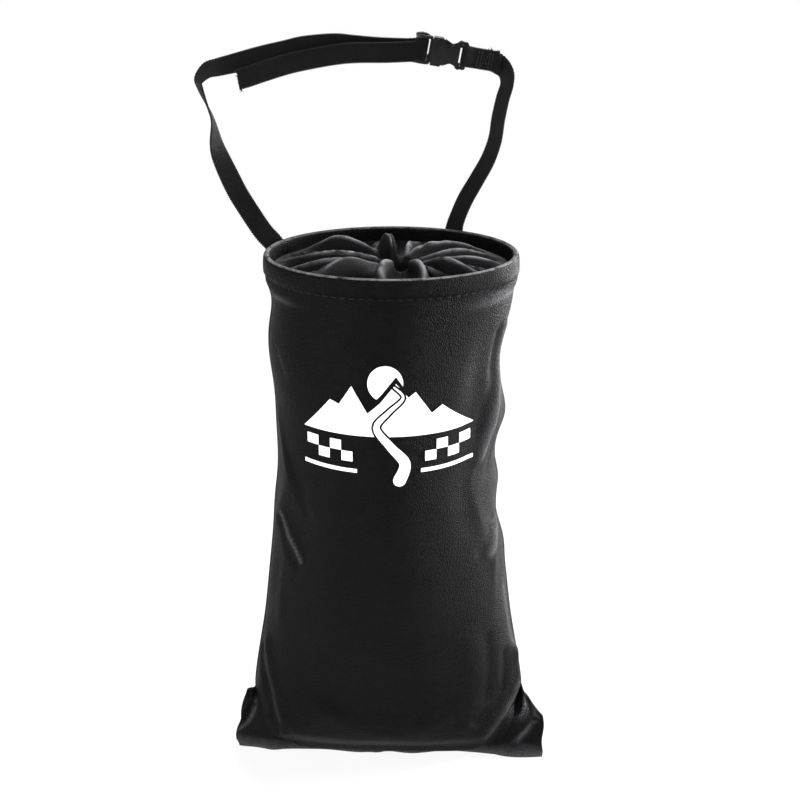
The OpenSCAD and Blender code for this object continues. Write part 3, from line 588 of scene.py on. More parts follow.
def film_material(name, colour):
    """A printed film that has sunk in to the leather's grain."""
    made, tree, shader = material(name, Specular_IOR_Level=0.35, Roughness=0.45)
    place = node(tree, "TexCoord").outputs["Object"]
    grain = use_group(tree, "pebble_grain", {"Vector": place})
    tone = use_group(tree, "uneven_tone", {"Vector": place, "Patches per metre": 60.0})
    base = colour_mix(tree, tone.outputs[0], shade(colour, 0.96), shade(colour, 1.0))
    wear_and_highlight = math_node(tree, "MULTIPLY", grain.outputs[1], math_node(tree, "MULTIPLY", tone.outputs[1], 0.35))
    tree.links.new(colour_mix(tree, wear_and_highlight, base, shade(colour, 0.62)), shader.inputs["Base Color"])
    tree.links.new(math_node(tree, "MULTIPLY_ADD", grain.outputs[1], 0.15, 0.4),
                   shader.inputs["Roughness"])
    bump(tree, shader, grain.outputs[0], 0.00008)
    return made


def paint(piece, made):
    piece.data.materials.clear()
    piece.data.materials.append(made)


# Settings that a user would change


def colour_property(label, words, default):
    return FloatVectorProperty(name=label, description=words, subtype="COLOR", size=3, min=0.0,
                               max=1.0, default=default)


class BagLooks(bpy.types.PropertyGroup):
    """Finish of the leather bag, its closure and its print."""

    leather: colour_property("Leather", "Colour of the leather", (0.0029, 0.0029, 0.0031))
    closure: colour_property("Closure", "Colour of the thin closure", (0.005, 0.005, 0.0054))
    print_ink: colour_property("Print", "Colour of the printed film", (0.9, 0.9, 0.9))
    thread: colour_property("Thread", "Colour of the hem's thread", (0.003, 0.003, 0.0032))
    pebble: FloatProperty(name="Pebble", description="Width of one pebble of the leather's grain",
                          default=0.0013, min=0.0006, max=0.004, unit="LENGTH")
    stitch: FloatProperty(name="Stitch", description="Length of one stitch of the hem",
                          default=0.0052, min=0.002, max=0.008, unit="LENGTH")


class StrapLooks(bpy.types.PropertyGroup):
    """Finish of the webbing and its buckle."""

    webbing: colour_property("Webbing", "Colour of the webbing", (0.0048, 0.0048, 0.0051))
    buckle: colour_property("Buckle", "Colour of the buckle's plastic", (0.0045, 0.0045, 0.005))
    edge: FloatProperty(name="Buckle edge", description="Radius of the buckle's moulded edges",
                        default=0.0004, min=0.0001, max=0.0008, unit="LENGTH")
    threads: IntProperty(name="Loose threads", description="Number of loose threads on the webbing",
                         default=16, min=0, max=60)


class StageLooks(bpy.types.PropertyGroup):
    """Floor, lamps and camera."""

    floor: colour_property("Floor", "Colour of the floor", (0.9, 0.9, 0.9))
    lens: FloatProperty(name="Lens", description="Focal length of the camera in millimetres",
                        default=76.5, min=20.0, max=200.0)
    power: FloatProperty(name="Lamp power", description="Power of the main lamp in watts",
                         default=21.0, min=0.0, max=200.0)


# The leather bag

ROWS_UP = 150
SIDE_COLUMNS = 130
# How square the soft edge round the base is: 1 is round, and less is squarer
BASE_SQUARE = 0.5
# Where the front of the base is drawn forwards or held back: X, push and reach
BASE_DRAWN = [(74, 5, 12), (-77, 3, 9), (-42, -4.5, 24), (-4, -4.5, 13), (34, -5.5, 21), (-9, 1.6, 4)]
# Painted highlights on and below the hem, broken up by the grain: angle, height, reach in degrees and in
# height, and share
HEM_HIGHLIGHTS = [(345, 311, 20, 2.2, 0.55), (338, 314.5, 12, 1.4, 0.35), (196, 310, 12, 1.6, 0.4),
          (352, 323, 9, 3, 0.3)]
# Where the bare back of the leather shows on the right ear: place and reach in X and in Z
BARE_AT, BARE_REACH = (80, 36), (5.5, 6.5)
EAR_COLUMNS = 7
# Folds of each ear: height, waves towards the tip and up the ear, and where they start
EAR_WAVES = {-1: (2.8, 6.2, 8.5, -0.6), 1: (2.4, 4.6, -5.2, 1.2)}
# Curl of each ear's top: height, place and reach up the ear, waves towards the tip and their start
EAR_CURL = {-1: (3, 0.98, 0.1, 9, 0), 1: (1.4, 0.9, 0.16, 7, 0.4)}
# Where the sides bulge out over the stitched line: angle, reach in degrees and push
HEM_SWELLS = [(352, 26, 1.9), (184, 22, 1.6)]
SWELL_DOWN, SWELL_REACH = 14.5, 5
# Steps between two points of the hem's profile, and how many of its rows lie on the outer face
HEM_STEPS, HEM_OUTER_ROWS = 3, 25
# Mean radius of the stitched line
STITCHES_R = 68


def bag_columns():
    """Angles of the columns round the bag, and each one's share of the way out to an ear's tip."""
    to_tip = np.linspace(0, 1, EAR_COLUMNS + 2)[1:-1]
    arc = SEAM_ANGLE + (180 - 2 * SEAM_ANGLE) * np.linspace(0, 1, SIDE_COLUMNS)
    table = []

    def ear(side, face, shares):
        centre = 0 if side > 0 else 180
        for share in shares:
            table.append((centre + side * face * SEAM_ANGLE * (1 - share * 2 / 3), share))

    ear(-1, -1, to_tip[::-1])
    table.extend((t + 180, 0) for t in arc)
    ear(1, -1, list(to_tip) + [1])
    ear(1, 1, [1] + list(to_tip[::-1]))
    table.extend((t, 0) for t in arc)
    ear(-1, 1, list(to_tip) + [1])
    ear(-1, -1, [1])
    return [np.array(column, float) for column in zip(*table)]


def bag_ring(columns, z, inset=0.0, inner=False):
    """One ring of the wall. The ears stand out of the outer rings up to their own heights."""
    angle, share = columns
    ridge = share * share * (3 - 2 * share) * SEAM_RIDGE * fade(z)
    if inner:
        return wall(angle, z, -inset - LEATHER_T)
    ring = wall(angle, z, ridge - inset + hem_swell(angle, z))
    for side in (-1, 1):
        if z > EAR_H[side]:
            continue
        middle, root, up = (0 if side > 0 else 180), ear_root(side, z), z / EAR_H[side]
        near, part = ear_part(angle, side, z)
        face = np.sign(np.sin(np.radians(angle[near])))
        foot = wall(middle + side * face * root, z, -inset)
        tip_y = EAR_Y[side] + face * LEATHER_T
        x = foot[:, 0] + (ear_tip(side, z) - foot[:, 0]) * part
        y = tip_y + (foot[:, 1] - tip_y) * (1 - part) ** (0.8 + 0.7 * up)
        y = y + ear_creases(side, part, up) * np.minimum(1, part * 2)
        ring[near] = np.stack([x, y, z + ear_top(side, part) * up ** 4], -1)
    front = np.sin(np.radians(angle)) < 0
    drawn = sum(push * np.exp(-((ring[:, 0] - x) / reach) ** 2) for x, push, reach in BASE_DRAWN)
    ring[:, 1] -= front * drawn * math.exp(-(z / 11) ** 2)
    return ring


def hem_swell(angle, z):
    """How far the sides bulge out over the stitched line below the rim."""
    out = sum(push * np.exp(-(turn(angle, t) / reach) ** 2) for t, reach, push in HEM_SWELLS)
    return out * math.exp(-((z - BAG_H + SWELL_DOWN) / SWELL_REACH) ** 2)


def ear_part(angle, side, z):
    """The columns that an ear draws out at a height, and how far each lies on the way to its tip."""
    middle, root = (0 if side > 0 else 180), ear_root(side, z)
    near = np.nonzero(turn(angle, middle) < root)[0]
    return near, np.minimum(1, (root - turn(angle[near], middle)) / (root - SEAM_ANGLE / 3))


def ear_crest_highlights(angle, z):
    """Where the crests of the ears' folds lie on a ring, for the painted highlights along them."""
    mask = np.zeros(len(angle))
    for side in (-1, 1):
        if z <= EAR_H[side]:
            near, part = ear_part(angle, side, z)
            phase = ear_phase(side, part, z / EAR_H[side])
            mask[near] = np.maximum(0, np.sin(phase)) ** 8 * np.minimum(1, part * 3) * (1 - part) ** 0.3
    return mask


def ear_creases(side, part, up):
    """Soft folds that fan out over an ear from its root, the same on both its faces."""
    height, place, reach, turns, start = EAR_CURL[side]
    rising = 0.25 + up if side < 0 else 1
    waves = EAR_WAVES[side][0] * np.sin(ear_phase(side, part, up)) * rising * (0.3 + 0.7 * part)
    return waves + height * np.exp(-((up - place) / reach) ** 2) * np.cos(turns * part + start)


def ear_phase(side, part, up):
    """The waves of an ear's folds, which run at a slant over it."""
    _, outwards, upwards, start = EAR_WAVES[side]
    return outwards * part + upwards * up + start


def ear_top(side, part):
    """How far an ear's top edge lies above or below its nominal height."""
    if side < 0:
        return 1.4 * np.exp(-((part - 0.25) / 0.22) ** 2) - 0.9 * np.exp(-((part - 0.62) / 0.12) ** 2)
    return -4.6 * (1 - part) * np.minimum(1, part * 6) + 0.5 * np.sin(14 * part)


def hem_profile():
    """Distance in from the rim's outline and depth below the rim, from the stitched line up over
    the rim and down inside, and then back up through the hoop's casing."""
    outer = [(STITCH_PULL + 0.45, HEM_H + 0.9), (STITCH_PULL + 0.15, HEM_H + 0.25),
             (STITCH_PULL - 0.25, HEM_H - 0.5), (0.75, HEM_H - 2.2), (0.2, HEM_H - 4.2),
             (0, HEM_H / 2), (0.02, 3.8), (0.3, 1.7), (0.95, 0.55), (FLAP * 0.5, 0),
             (FLAP - 0.75, 0.65), (FLAP - 0.12, 1.9), (FLAP, 3.4)]
    smooth = catmull(outer, [HEM_STEPS] * (len(outer) - 1))
    low = HOOP_TOP + HOOP_H
    flap = [(FLAP, 6.4), (FLAP, low), (STITCHED + FIT_GAP + LEATHER_T, HEM_H + 1.4),
            (STITCHED + FIT_GAP, HEM_H + 1.4), (CAVITY, low), (CAVITY, 2),
            (CAVITY - 0.4, LEATHER_T + 0.2), (LEATHER_T + 0.4, LEATHER_T + 0.2), (LEATHER_T, 2),
            (LEATHER_T, low + FIT_GAP), (STITCHED, HEM_H)]
    return list(map(tuple, smooth)) + flap


def stitch_count(looks):
    return round(2 * math.pi * STITCHES_R / (looks.stitch / MM))


def cap_faces(count, start):
    """Quads across a ring of the base, between its front and its back."""
    front = [count - 1] + list(range(0, count // 2 - 1))
    back = [count - 2 - i for i in range(count // 2)]
    return [[start + front[r], start + front[r + 1], start + back[r + 1], start + back[r]]
            for r in range(count // 2 - 1)]


def mask_bag(bag, points, angles, outside, wear_and_highlight):
    """Writes the leather's masks: painted highlights below the hem added to the given ones, painted highlight
    streaks and a painted reflection of the floor along the front of the base, and where the bare back shows.
    """
    x, y, z = points.T
    around = np.degrees(np.arctan2(y, x)) % 360
    # Painted highlights on and below the hem
    for t, height, turned, reach, share in HEM_HIGHLIGHTS:
        near = np.exp(-(turn(around, t) / turned) ** 2 - ((z - height) / reach) ** 2)
        wear_and_highlight = wear_and_highlight + outside * share * near
    set_mask(bag, "wear_and_highlight", wear_and_highlight)
    highlight_streaks = np.zeros(len(points))
    # Painted highlight streaks
    for share, width, line in STREAKS:
        highlight_streaks = np.maximum(highlight_streaks, share * near_line(angles, z, line, width))
    # Painted reflection of the floor: a pale band along the front of the base
    low = 1.1 * np.exp(-(z / 5) ** 2) * (y < 0)
    set_mask(bag, "streaked", outside * np.maximum(highlight_streaks, low))
    bare = np.exp(-((x - BARE_AT[0]) / BARE_REACH[0]) ** 2 - ((z - BARE_AT[1]) / BARE_REACH[1]) ** 2)
    set_mask(bag, "bare", bare * (y < EAR_Y[1]))


def build_bag(looks):
    columns = bag_columns()
    angle, share = columns
    count = len(angle)
    rings, wear_and_highlight = [], []

    def add(ring, wear_and_sheen=0.0):
        rings.append(ring)
        wear_and_highlight.append(np.full(count, 1.0) * wear_and_sheen)

    for a in np.linspace(90, 0, 11):
        r = math.radians(a)
        edge = (max(0.0, math.sin(r)) ** BASE_SQUARE, max(0.0, math.cos(r)) ** BASE_SQUARE)
        add(bag_ring(columns, BASE_R * (1 - edge[0]), BASE_R * (1 - edge[1])), 0.06)
    tops = {h + step for h in EAR_H.values() for step in (0, 0.5)}
    for z in sorted(set(np.linspace(BASE_R, HIP_H, 34)[1:-1]) | tops):
        # Painted highlights along the crests of the ears' folds
        add(bag_ring(columns, z), 0.5 * ear_crest_highlights(angle, z))
    for i in range(ROWS_UP):
        z = HIP_H + (WALL_TOP - HIP_H) * i / (ROWS_UP - 1)
        add(bag_ring(columns, z), 0.1 * (share > 0.9))
    pucker = np.cos(np.radians(angle) * stitch_count(looks))
    # Painted highlight along the top of the rim, stronger at the front
    lip_highlight = 0.5 + np.clip(0.5 - 0.8 * np.sin(np.radians(angle)), 0, 1)
    for i, (off, down) in enumerate(hem_profile()):
        near = math.exp(-((down - HEM_H) / 2.6) ** 2) if off < 3 else 0
        swell = hem_swell(angle, BAG_H - down) if i < HEM_OUTER_ROWS else 0
        ring = mouth_point(angle, off + 0.22 * near * pucker - swell, BAG_H - down)
        add(ring, lip_highlight if down < 0.8 and 0.6 < off < FLAP - 0.4 else 0.0)
    outer_end = (len(rings) - 1) * count
    for z in np.linspace(WALL_TOP, 12, 46):
        add(bag_ring(columns, z, 0, True))
    for inset, z in [(0, BASE_R + 1), (1.5, 4.3), (4.2, 1.9), (BASE_R, 1.2)]:
        add(bag_ring(columns, z, inset, True))

    points = np.concatenate(rings)
    faces = ring_quads(len(rings), count).tolist()
    faces += cap_faces(count, 0) + cap_faces(count, (len(rings) - 1) * count)
    bag = piece_from("leather_bag", points, faces)
    mask_bag(bag, points, np.tile(angle, len(rings)), np.arange(len(points)) < outer_end,
             np.concatenate(wear_and_highlight))
    face_outwards(bag)
    smooth_by_angle(bag, 50)
    tint = leather_material("pebbled_leather", looks.leather, pebbles=1 / looks.pebble, depth=0.00026,
                            roughness=0.42, specular=0.055, wear_and_highlight_scale=160.0, lit_and_rubbed_to=55)
    paint(bag, tint)
    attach(bag, "bag")
    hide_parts("bag_body")


# Stitches


def thread_loop():
    """One stitch along X: a thread that rises out of its holes, modelled once and then copied."""
    bpy.ops.object.select_all(action="DESELECT")
    bpy.ops.mesh.primitive_cylinder_add(vertices=6, radius=1, depth=2, rotation=(0, math.pi / 2, 0),
                                        end_fill_type="NGON")
    proto = bpy.context.object
    bpy.ops.object.transform_apply(location=False, rotation=True, scale=False)
    bpy.ops.object.mode_set(mode="EDIT")
    bpy.ops.mesh.select_all(action="SELECT")
    bpy.ops.mesh.bisect(plane_co=(0.45, 0, 0), plane_no=(1, 0, 0))
    bpy.ops.mesh.select_all(action="SELECT")
    bpy.ops.mesh.bisect(plane_co=(-0.45, 0, 0), plane_no=(1, 0, 0))
    bpy.ops.object.mode_set(mode="OBJECT")
    points = np.array([v.co for v in proto.data.vertices])
    faces = [list(f.vertices) for f in proto.data.polygons]
    end = np.abs(points[:, 0]) > 0.9
    points[end, 1] *= 0.45
    points[end, 2] = points[end, 2] * 0.45 - 0.9
    bpy.data.objects.remove(proto)
    return points, faces


def stitch_row(name, places, length, thick, tint):
    """Stitches at places of (middle, run, outwards), all in one piece."""
    points, faces = thread_loop()
    every, quads = [], []
    for middle, run, out in places:
        run = unit(np.asarray(run, float))
        out = unit(out - (out @ run) * run)
        side = np.cross(out, run)
        start = len(every) * len(points)
        local = points * (length / 2, thick / 2, thick / 2)
        every.append(middle + local @ np.stack([run, side, out]))
        quads.extend([[start + i for i in face] for face in faces])
    piece = piece_from(name, np.concatenate(every), quads, 60)
    paint(piece, tint)
    return piece


def build_hem_stitches(looks):
    count = stitch_count(looks)
    places = []
    for i in range(count):
        t = 360 * (i + 0.5) / count
        p = mouth_point(t, STITCH_PULL - 0.12, BAG_H - HEM_H)
        ahead, behind = (mouth_point(t + turned, STITCH_PULL, BAG_H - HEM_H) for turned in (1, -1))
        run = ahead - behind
        places.append((p, run, np.array([run[1], -run[0], 0.0])))
    tint = thread_material("hem_thread", looks.thread)
    row = stitch_row("hem_stitches", places, length=looks.stitch / MM * 0.68, thick=0.6, tint=tint)
    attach(row, "bag")


# The closure

# Standing folds: angle, how it changes from edge to hole, height, half width, place and reach of
# the crest on the way in to the hole, how far the crest leans over for each part of its height,
# and how blunt the crest is
CLOSURE_FOLDS = [
    (128, -35, 8.2, 9, 0.4, 0.26, 0.5, 1.5), (168, -10, 5.2, 6, 0.58, 0.34, 0.7, 1.4),
    (197, 0, 5.6, 6, 0.5, 0.32, 0.7, 1.4), (228, 6, 8, 10, 0.45, 0.3, -0.1, 2.2),
    (257, -25, 5.6, 4.4, 0.7, 0.5, 0.1, 2.2), (294, 20, 5.4, 4.4, 0.7, 0.5, -0.1, 2.0),
    (326, 0, 7.6, 7, 0.52, 0.3, -0.6, 1.5), (356, 0, 3, 8, 0.4, 0.3, -0.3, 1.5),
    (22, 10, 3.9, 6, 0.5, 0.3, -0.4, 1.5), (48, 55, 5.8, 7, 0.5, 0.34, -0.6, 1.6),
    (76, 0, 3.6, 5, 0.66, 0.26, 0.2, 1.6), (103, 20, 12.8, 6, 0.88, 0.14, 0.0, 5.0),
    (146, -10, 1.8, 3, 0.6, 0.24, 0.6, 1.4), (212, 4, 1.6, 3, 0.66, 0.24, 0.6, 1.4),
    (311, 6, 2.4, 3, 0.74, 0.2, -0.5, 1.4), (342, 8, 2.2, 3.4, 0.62, 0.24, -0.6, 1.4),
    (64, 20, 2.6, 3, 0.72, 0.2, -0.5, 1.4), (8, 8, 1.6, 3, 0.68, 0.24, -0.5, 1.4)]
CLOSURE_DOWN, CLOSURE_RISE = 8.6, 3.4
# Depth of the valleys between the standing folds
VALLEY = 9.0
# Small ripples over all of it: number round the hole, height, start and how far they swing
CLOSURE_RIPPLES = ((19, 0.34, 10, 60), (37, 0.2, 80, 40), (61, 0.1, 30, 30))


def closure_surface(t, u):
    """Points of the gathered closure from its sewn edge (u = 0) to its hole (u = 1), the painted
    highlight along each fold's crest, and the painted shade in the valleys between the folds."""
    a, b, r = MOUTH_A - SKIRT - CLOTH_T, MOUTH_B - SKIRT - CLOTH_T, HOLE_R + CLOTH_T
    turned = np.radians(t)
    across = b + (r - b) * u
    start = math.sin(math.radians(90 * min(1, u / 0.2)))
    valley = VALLEY * math.sin(math.pi * u ** 0.8) ** 0.7
    x = (a + (r - a) * u) * np.cos(turned) + HOLE_X * u
    y = (b + (r - b) * u) * np.sin(turned) - HOLE_Y * u
    crest, rise, lean, filled = (np.zeros(len(t)) for _ in range(4))
    for angle, swing, height, width, place, reach, over, blunt in CLOSURE_FOLDS:
        off = np.radians(signed_turn(t, angle + swing * (u - 0.5))) * across
        narrow = width * (0.3 + 0.6 * across / b)
        near = np.exp(-np.abs(off / narrow) ** blunt)
        shape = near * math.exp(-((u - place) / reach) ** 2) * start
        rise = np.maximum(rise, height * shape + near * valley)
        lean = lean + over * height * shape
        # Painted highlight along the fold's crest
        crest = np.maximum(crest, 1.3 * np.exp(-(off / 0.6) ** 2) * shape)
        filled = np.maximum(filled, near)
    fine = 0
    for count, size, phase, bend in CLOSURE_RIPPLES:
        swing = bend * np.sin(3 * turned + 5 * u)
        fine = fine + size * start * (0.35 + u) * np.cos(np.radians(count * t + phase + swing))
    z = (BAG_H - CLOSURE_DOWN + CLOSURE_RISE * math.sin(math.radians(150 * u)) - valley + rise + fine
         + 0.8 * u * u * np.cos(np.radians(PLEATS * t + 50)))
    points = np.stack([x - np.sin(turned) * lean, y + np.cos(turned) * lean, z], -1)
    return points, crest, (1 - filled) * start


CLOSURE_COLUMNS = 420


def build_closure(looks):
    t = np.linspace(0, 360, CLOSURE_COLUMNS, endpoint=False)
    rings = [mouth_point(t, SKIRT + CLOTH_T, BAG_H - down) for down in (HEM_H, 11.2, 10.2, 9.4)]
    crests = [np.zeros(len(t))] * len(rings)
    hollows = list(crests)
    for u in np.linspace(0, 0.93, 72):
        for made, values in zip((rings, crests, hollows), closure_surface(t, u)):
            made.append(values)
    casing_end = CASING_TOP + ELASTIC_H + 2 * FIT_GAP + CLOTH_T
    casing_r = HOLE_R + CASING + CLOTH_T

    def hole(r, down):
        a = np.radians(t)
        return np.stack([HOLE_X + r * np.cos(a), r * np.sin(a) - HOLE_Y, np.full(len(t), BAG_H - down)], -1)

    last = rings[-1]
    for share in (0.35, 0.7):
        rings.append(last + (hole(HOLE_R + 0.4, CASING_TOP - 2.4) - last) * share)
    neck = [(HOLE_R + 0.2, CASING_TOP - 2), (HOLE_R, CASING_TOP), (HOLE_R, CASING_TOP + 3),
            (HOLE_R, casing_end - 1), (HOLE_R + 0.3, casing_end), (casing_r - 0.3, casing_end),
            (casing_r, casing_end - 1), (casing_r, CASING_TOP)]
    rings += [hole(r, down) for r, down in neck]
    crests += [np.zeros(len(t))] * (len(rings) - len(crests))
    # Painted shade in the neck of the hole
    hollows += [np.full(len(t), 0.8)] * (len(rings) - len(hollows))
    cloth = piece_from("closure_leather", np.concatenate(rings), ring_quads(len(rings), len(t)).tolist())
    # Painted highlight along the crests and painted shade in the valleys
    set_mask(cloth, "wear_and_highlight", np.concatenate(crests))
    set_mask(cloth, "hollow_shade", np.concatenate(hollows))
    thick = cloth.modifiers.new("cloth", "SOLIDIFY")
    thick.thickness = CLOTH_T * MM
    thick.offset = 1.0
    apply_modifiers(cloth)
    smooth_by_angle(cloth, 60)
    tint = leather_material("thin_leather", looks.closure, pebbles=1500.0, depth=0.00016, roughness=0.4,
                            specular=0.13, wear_and_highlight_scale=140.0, lit_and_rubbed_to=48)
    paint(cloth, tint)
    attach(cloth, "bag")
    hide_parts("closure_collar")


# The print

PRINT_Z, PICTURE_DROP, PRINT_T, PRINT_LIFT = 250, 8, 0.3, 0.15
# The road's middle line and its width there
ROAD = [(3, 28, 0.9), (8, 22, 1.5), (0, 14, 2.4), (-7, 5, 3.6), (1, -6, 4.8), (9, -16, 6.2), (6, -26, 7.4)]
HILLS = [(-48, 0), (-33, 19), (-28, 17), (-21, 28), (-12, 13), (-5, 19), (4, 30), (11, 22), (15, 25),
         (24, 12), (30, 16), (48, 0)]
SKYLINE = [(-24, 32), (-12, 17), (-5, 23), (4, 34), (14, 20), (-12, 5)]
SUN_AT, SUN_R = (-2, 30), 10
# How far the hills stay clear of the road
ROAD_MARGIN = 1.2
# Chequered patch at each side: place of its first square, pitch and size of a square in X and Z,
# how far a square reaches left of its place, and number of squares
SQUARES_FROM, SQUARE_PITCH, SQUARE, SQUARE_LEFT = (23.6, -15.5), (6.5, 6), (6.3, 5.8), 3.2
SQUARES_WIDE, SQUARES_HIGH = 4, 2
# Line below each patch: middle, height, length and thickness
LINE_X, LINE_Z, LINE_L, LINE_T = 33, -22, 30, 2.2


def prism(name, outline):
    """A closed prism of an outline in the picture's plane, which runs through the bag's front."""
    middle = (-LEAN * 0.4, PRINT_Z - PICTURE_DROP)
    n = len(outline)
    flat = [(x + middle[0], z + middle[1]) for x, z in outline]
    points = [(x, -120, z) for x, z in flat] + [(x, -10, z) for x, z in flat]
    faces = [list(range(n)), list(range(2 * n - 1, n - 1, -1))]
    faces += [[(i + 1) % n, i, i + n, (i + 1) % n + n] for i in range(n)]
    piece = piece_from(name, points, faces)
    face_outwards(piece)
    return piece


def road_outline(grow):
    line = catmull([p[:2] for p in ROAD], [5] * (len(ROAD) - 1))
    width = catmull([[p[2]] for p in ROAD], [5] * (len(ROAD) - 1))[:, 0] / 2 + grow
    run = unit(np.gradient(line, axis=0))
    side = np.stack([-run[:, 1], run[:, 0]], -1)

    def cap(middle, r, start):
        turns = np.radians(start - np.arange(20, 180, 20))
        return list(middle + r * np.stack([np.cos(turns), np.sin(turns)], -1))

    def heading(v):
        return math.degrees(math.atan2(v[1], v[0]))

    return (list(line + side * width[:, None]) + cap(line[-1], width[-1], heading(side[-1]))
            + list(line - side * width[:, None])[::-1] + cap(line[0], width[0], heading(-side[0])))


def cut(piece, tool, operation):
    made = piece.modifiers.new("cut", "BOOLEAN")
    made.operation, made.object, made.solver = operation, tool, "EXACT"
    apply_modifiers(piece)
    bpy.data.objects.remove(tool)


def sun_outline():
    turns = np.linspace(0, 2 * math.pi, 48, endpoint=False)
    return [(SUN_AT[0] + SUN_R * math.cos(a), SUN_AT[1] + SUN_R * math.sin(a)) for a in turns]


def block_outline(x, z, width, height):
    return [(x, z), (x + width, z), (x + width, z + height), (x, z + height)]


def print_stencil():
    """All the picture's shapes as prisms, joined."""
    hills = prism("hills", HILLS)
    cut(hills, prism("wide_road", road_outline(ROAD_MARGIN)), "DIFFERENCE")
    sun = prism("sun", sun_outline())
    cut(sun, prism("skyline", SKYLINE), "DIFFERENCE")
    shapes = [hills, sun, prism("road", road_outline(0))]
    for side in (-1, 1):
        for i in range(SQUARES_WIDE):
            for j in range(SQUARES_HIGH):
                if (i + j) % 2 == 0:
                    x = side * (SQUARES_FROM[0] + SQUARE_PITCH[0] * i) - SQUARE_LEFT
                    z = SQUARES_FROM[1] + SQUARE_PITCH[1] * j
                    shapes.append(prism("square", block_outline(x, z, *SQUARE)))
        shapes.append(prism("line", block_outline(side * LINE_X - LINE_L / 2, LINE_Z, LINE_L, LINE_T)))
    select_only(*shapes)
    bpy.ops.object.join()
    return bpy.context.object


def film_slab():
    """A thin closed slab that follows the front of the bag."""
    t = np.arange(208, 332.01, 1.0)
    z = np.arange(PRINT_Z - 40, PRINT_Z + 36.01, 1.2)
    outer = wall(t[None], z[:, None], PRINT_LIFT + PRINT_T)
    inner = wall(t[None], z[:, None], PRINT_LIFT)
    rows, cols = len(z), len(t)
    faces = grid_quads(rows, cols).tolist()
    faces += [face[::-1] for face in grid_quads(rows, cols, rows * cols).tolist()]
    edge = (list(range(cols)) + [i * cols + cols - 1 for i in range(1, rows)]
            + [(rows - 1) * cols + j for j in range(cols - 2, -1, -1)]
            + [i * cols for i in range(rows - 2, 0, -1)])
    for a, b in zip(edge, edge[1:] + edge[:1]):
        faces.append([b, a, a + rows * cols, b + rows * cols])
    film = piece_from("print_film", np.concatenate([outer.reshape(-1, 3), inner.reshape(-1, 3)]), faces)
    face_outwards(film)
    return film


def build_print(looks):
    stencil = print_stencil()
    film = film_slab()
    cut(film, stencil, "INTERSECT")
    smooth_by_angle(film, 40)
    paint(film, film_material("white_film", looks.print_ink))
    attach(film, "bag")
    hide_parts("front_print")


# The straps

BUCKLE_AT, BUCKLE_TILT = (29.5, 46, 105), math.radians(10)
BAR_T, WEB_GAP, SLOT = 2.2, 0.2, 2.2
BAR_HALF, LAYER = BAR_T / 2, WEB_T + WEB_GAP
OUTER_BAR = -16.4
OUTER_END = OUTER_BAR + 2
MIDDLE_BAR = OUTER_END + SLOT
BLOCK = -8
MIDDLE_END = BLOCK - SLOT
END_BAR, TAIL_END = 12.2, 14.2
CLEAR = WEB_GAP + WEB_T / 2
WRAP = BAR_HALF + CLEAR
SEWN_FROM, SEWN_END = 19, 33.4
LEFT_SEAT = [(129, 47, 30), (136, 35, 35), (143, 23.5, 38)]
RIGHT_SEAT = [(64, 47, -22), (63, 35, -22), (61.5, 23.5, -22)]
LEFT_ROUTE = [
    (-63.8, 32, -14, 30), (-69.8, 33, -5, 18), (-76.4, 34, 2.6, 12), (-87, 39.5, 17.6, 8),
    (-92.3, 41.5, 26.7, 15), (-100, 44, 43.7, 40), (-102.6, 45, 52.6, 60), (-104.1, 46, 65.2, 90),
    (-106.8, 46.2, 73.4, 100), (-110.6, 46.6, 83.6, 112), (-111.4, 47, 89, 118),
    (-106.4, 47.3, 94.4, 132), (-99.8, 47.6, 96.2, 140), (-89.5, 48.1, 98.6, 150),
    (-74.4, 48.6, 102.4, 164), (-61, 48.8, 105.4, 172), (-49.9, 49.1, 107.9, 178),
    (-33, 49.4, 109.3, 180), (-20.9, 49.4, 108.3, 180), (-6.5, 49.4, 107.1, 180)]
TAIL_ROUTE = [
    (-3.6, 44.2, 105.1, 0), (-21.4, 44.4, 104.9, 0), (-34, 44.4, 103.6, 0), (-47.2, 44.2, 101.3, 0),
    (-60.5, 43.6, 98.4, 0), (-74.4, 42.8, 94.2, 0), (-81.3, 42.4, 91.9, 0), (-88.2, 42.2, 89.9, 0)]
TAIL_CUT = -9
RIGHT_ROUTE = [
    (35.5, 49.4, -12, -24), (37.4, 49.8, -2, -32), (39, 49, 5, -43), (43.6, 48, 17, -46),
    (50.5, 47, 30, -50), (56.7, 46.5, 42, -52), (60.6, 46.2, 54, -54), (62.2, 46.2, 66, -54),
    (64.6, 46.6, 78, -56), (66.8, 47, 86, -56), (66.2, 47.4, 92.6, -38), (62, 47.5, 97.6, -8)]
RIB_PITCH = 1.25
# Crossed box of stitches on the sewn end: its rows along the buckle, how far they and the cross
# reach each way, and the stitches' pitch
BOX_ROWS, BOX_HALF, CROSS_HALF, BOX_PITCH = (20.6, 22.2, 27.2, 28.8), 4.9, 4.7, 2.0
# The same where a strap is sewn to the bag: its ends along the strap, half width and pitch
SEAT_LOW, SEAT_HIGH, SEAT_HALF, SEAT_PITCH = 2.4, 13, 4.5, 2.1
# Points round a loose thread and along it
THREAD_SIDES, THREAD_RINGS = 5, 7


def in_buckle(s, w, t):
    """A point from its place along the buckle, across it and out of its front."""
    c, k = math.cos(BUCKLE_TILT), math.sin(BUCKLE_TILT)
    return np.array([BUCKLE_AT[0] + s * c + w * k, BUCKLE_AT[1] - t, BAG_H + BUCKLE_AT[2] - s * k + w * c])


UP = in_buckle(0, 1, 0) - in_buckle(0, 0, 0)


def seats(rows):
    off = FIT_GAP + 0.2 + WEB_T / 2
    return [(wall(a, BAG_H - down, off, fine=False), turned) for a, down, turned in rows]


def route(rows):
    return [(np.array([x, y, BAG_H + z], float), turned) for x, y, z, turned in rows]


def threaded(rows):
    return [(in_buckle(s, w, t), UP) for s, t, w in rows]


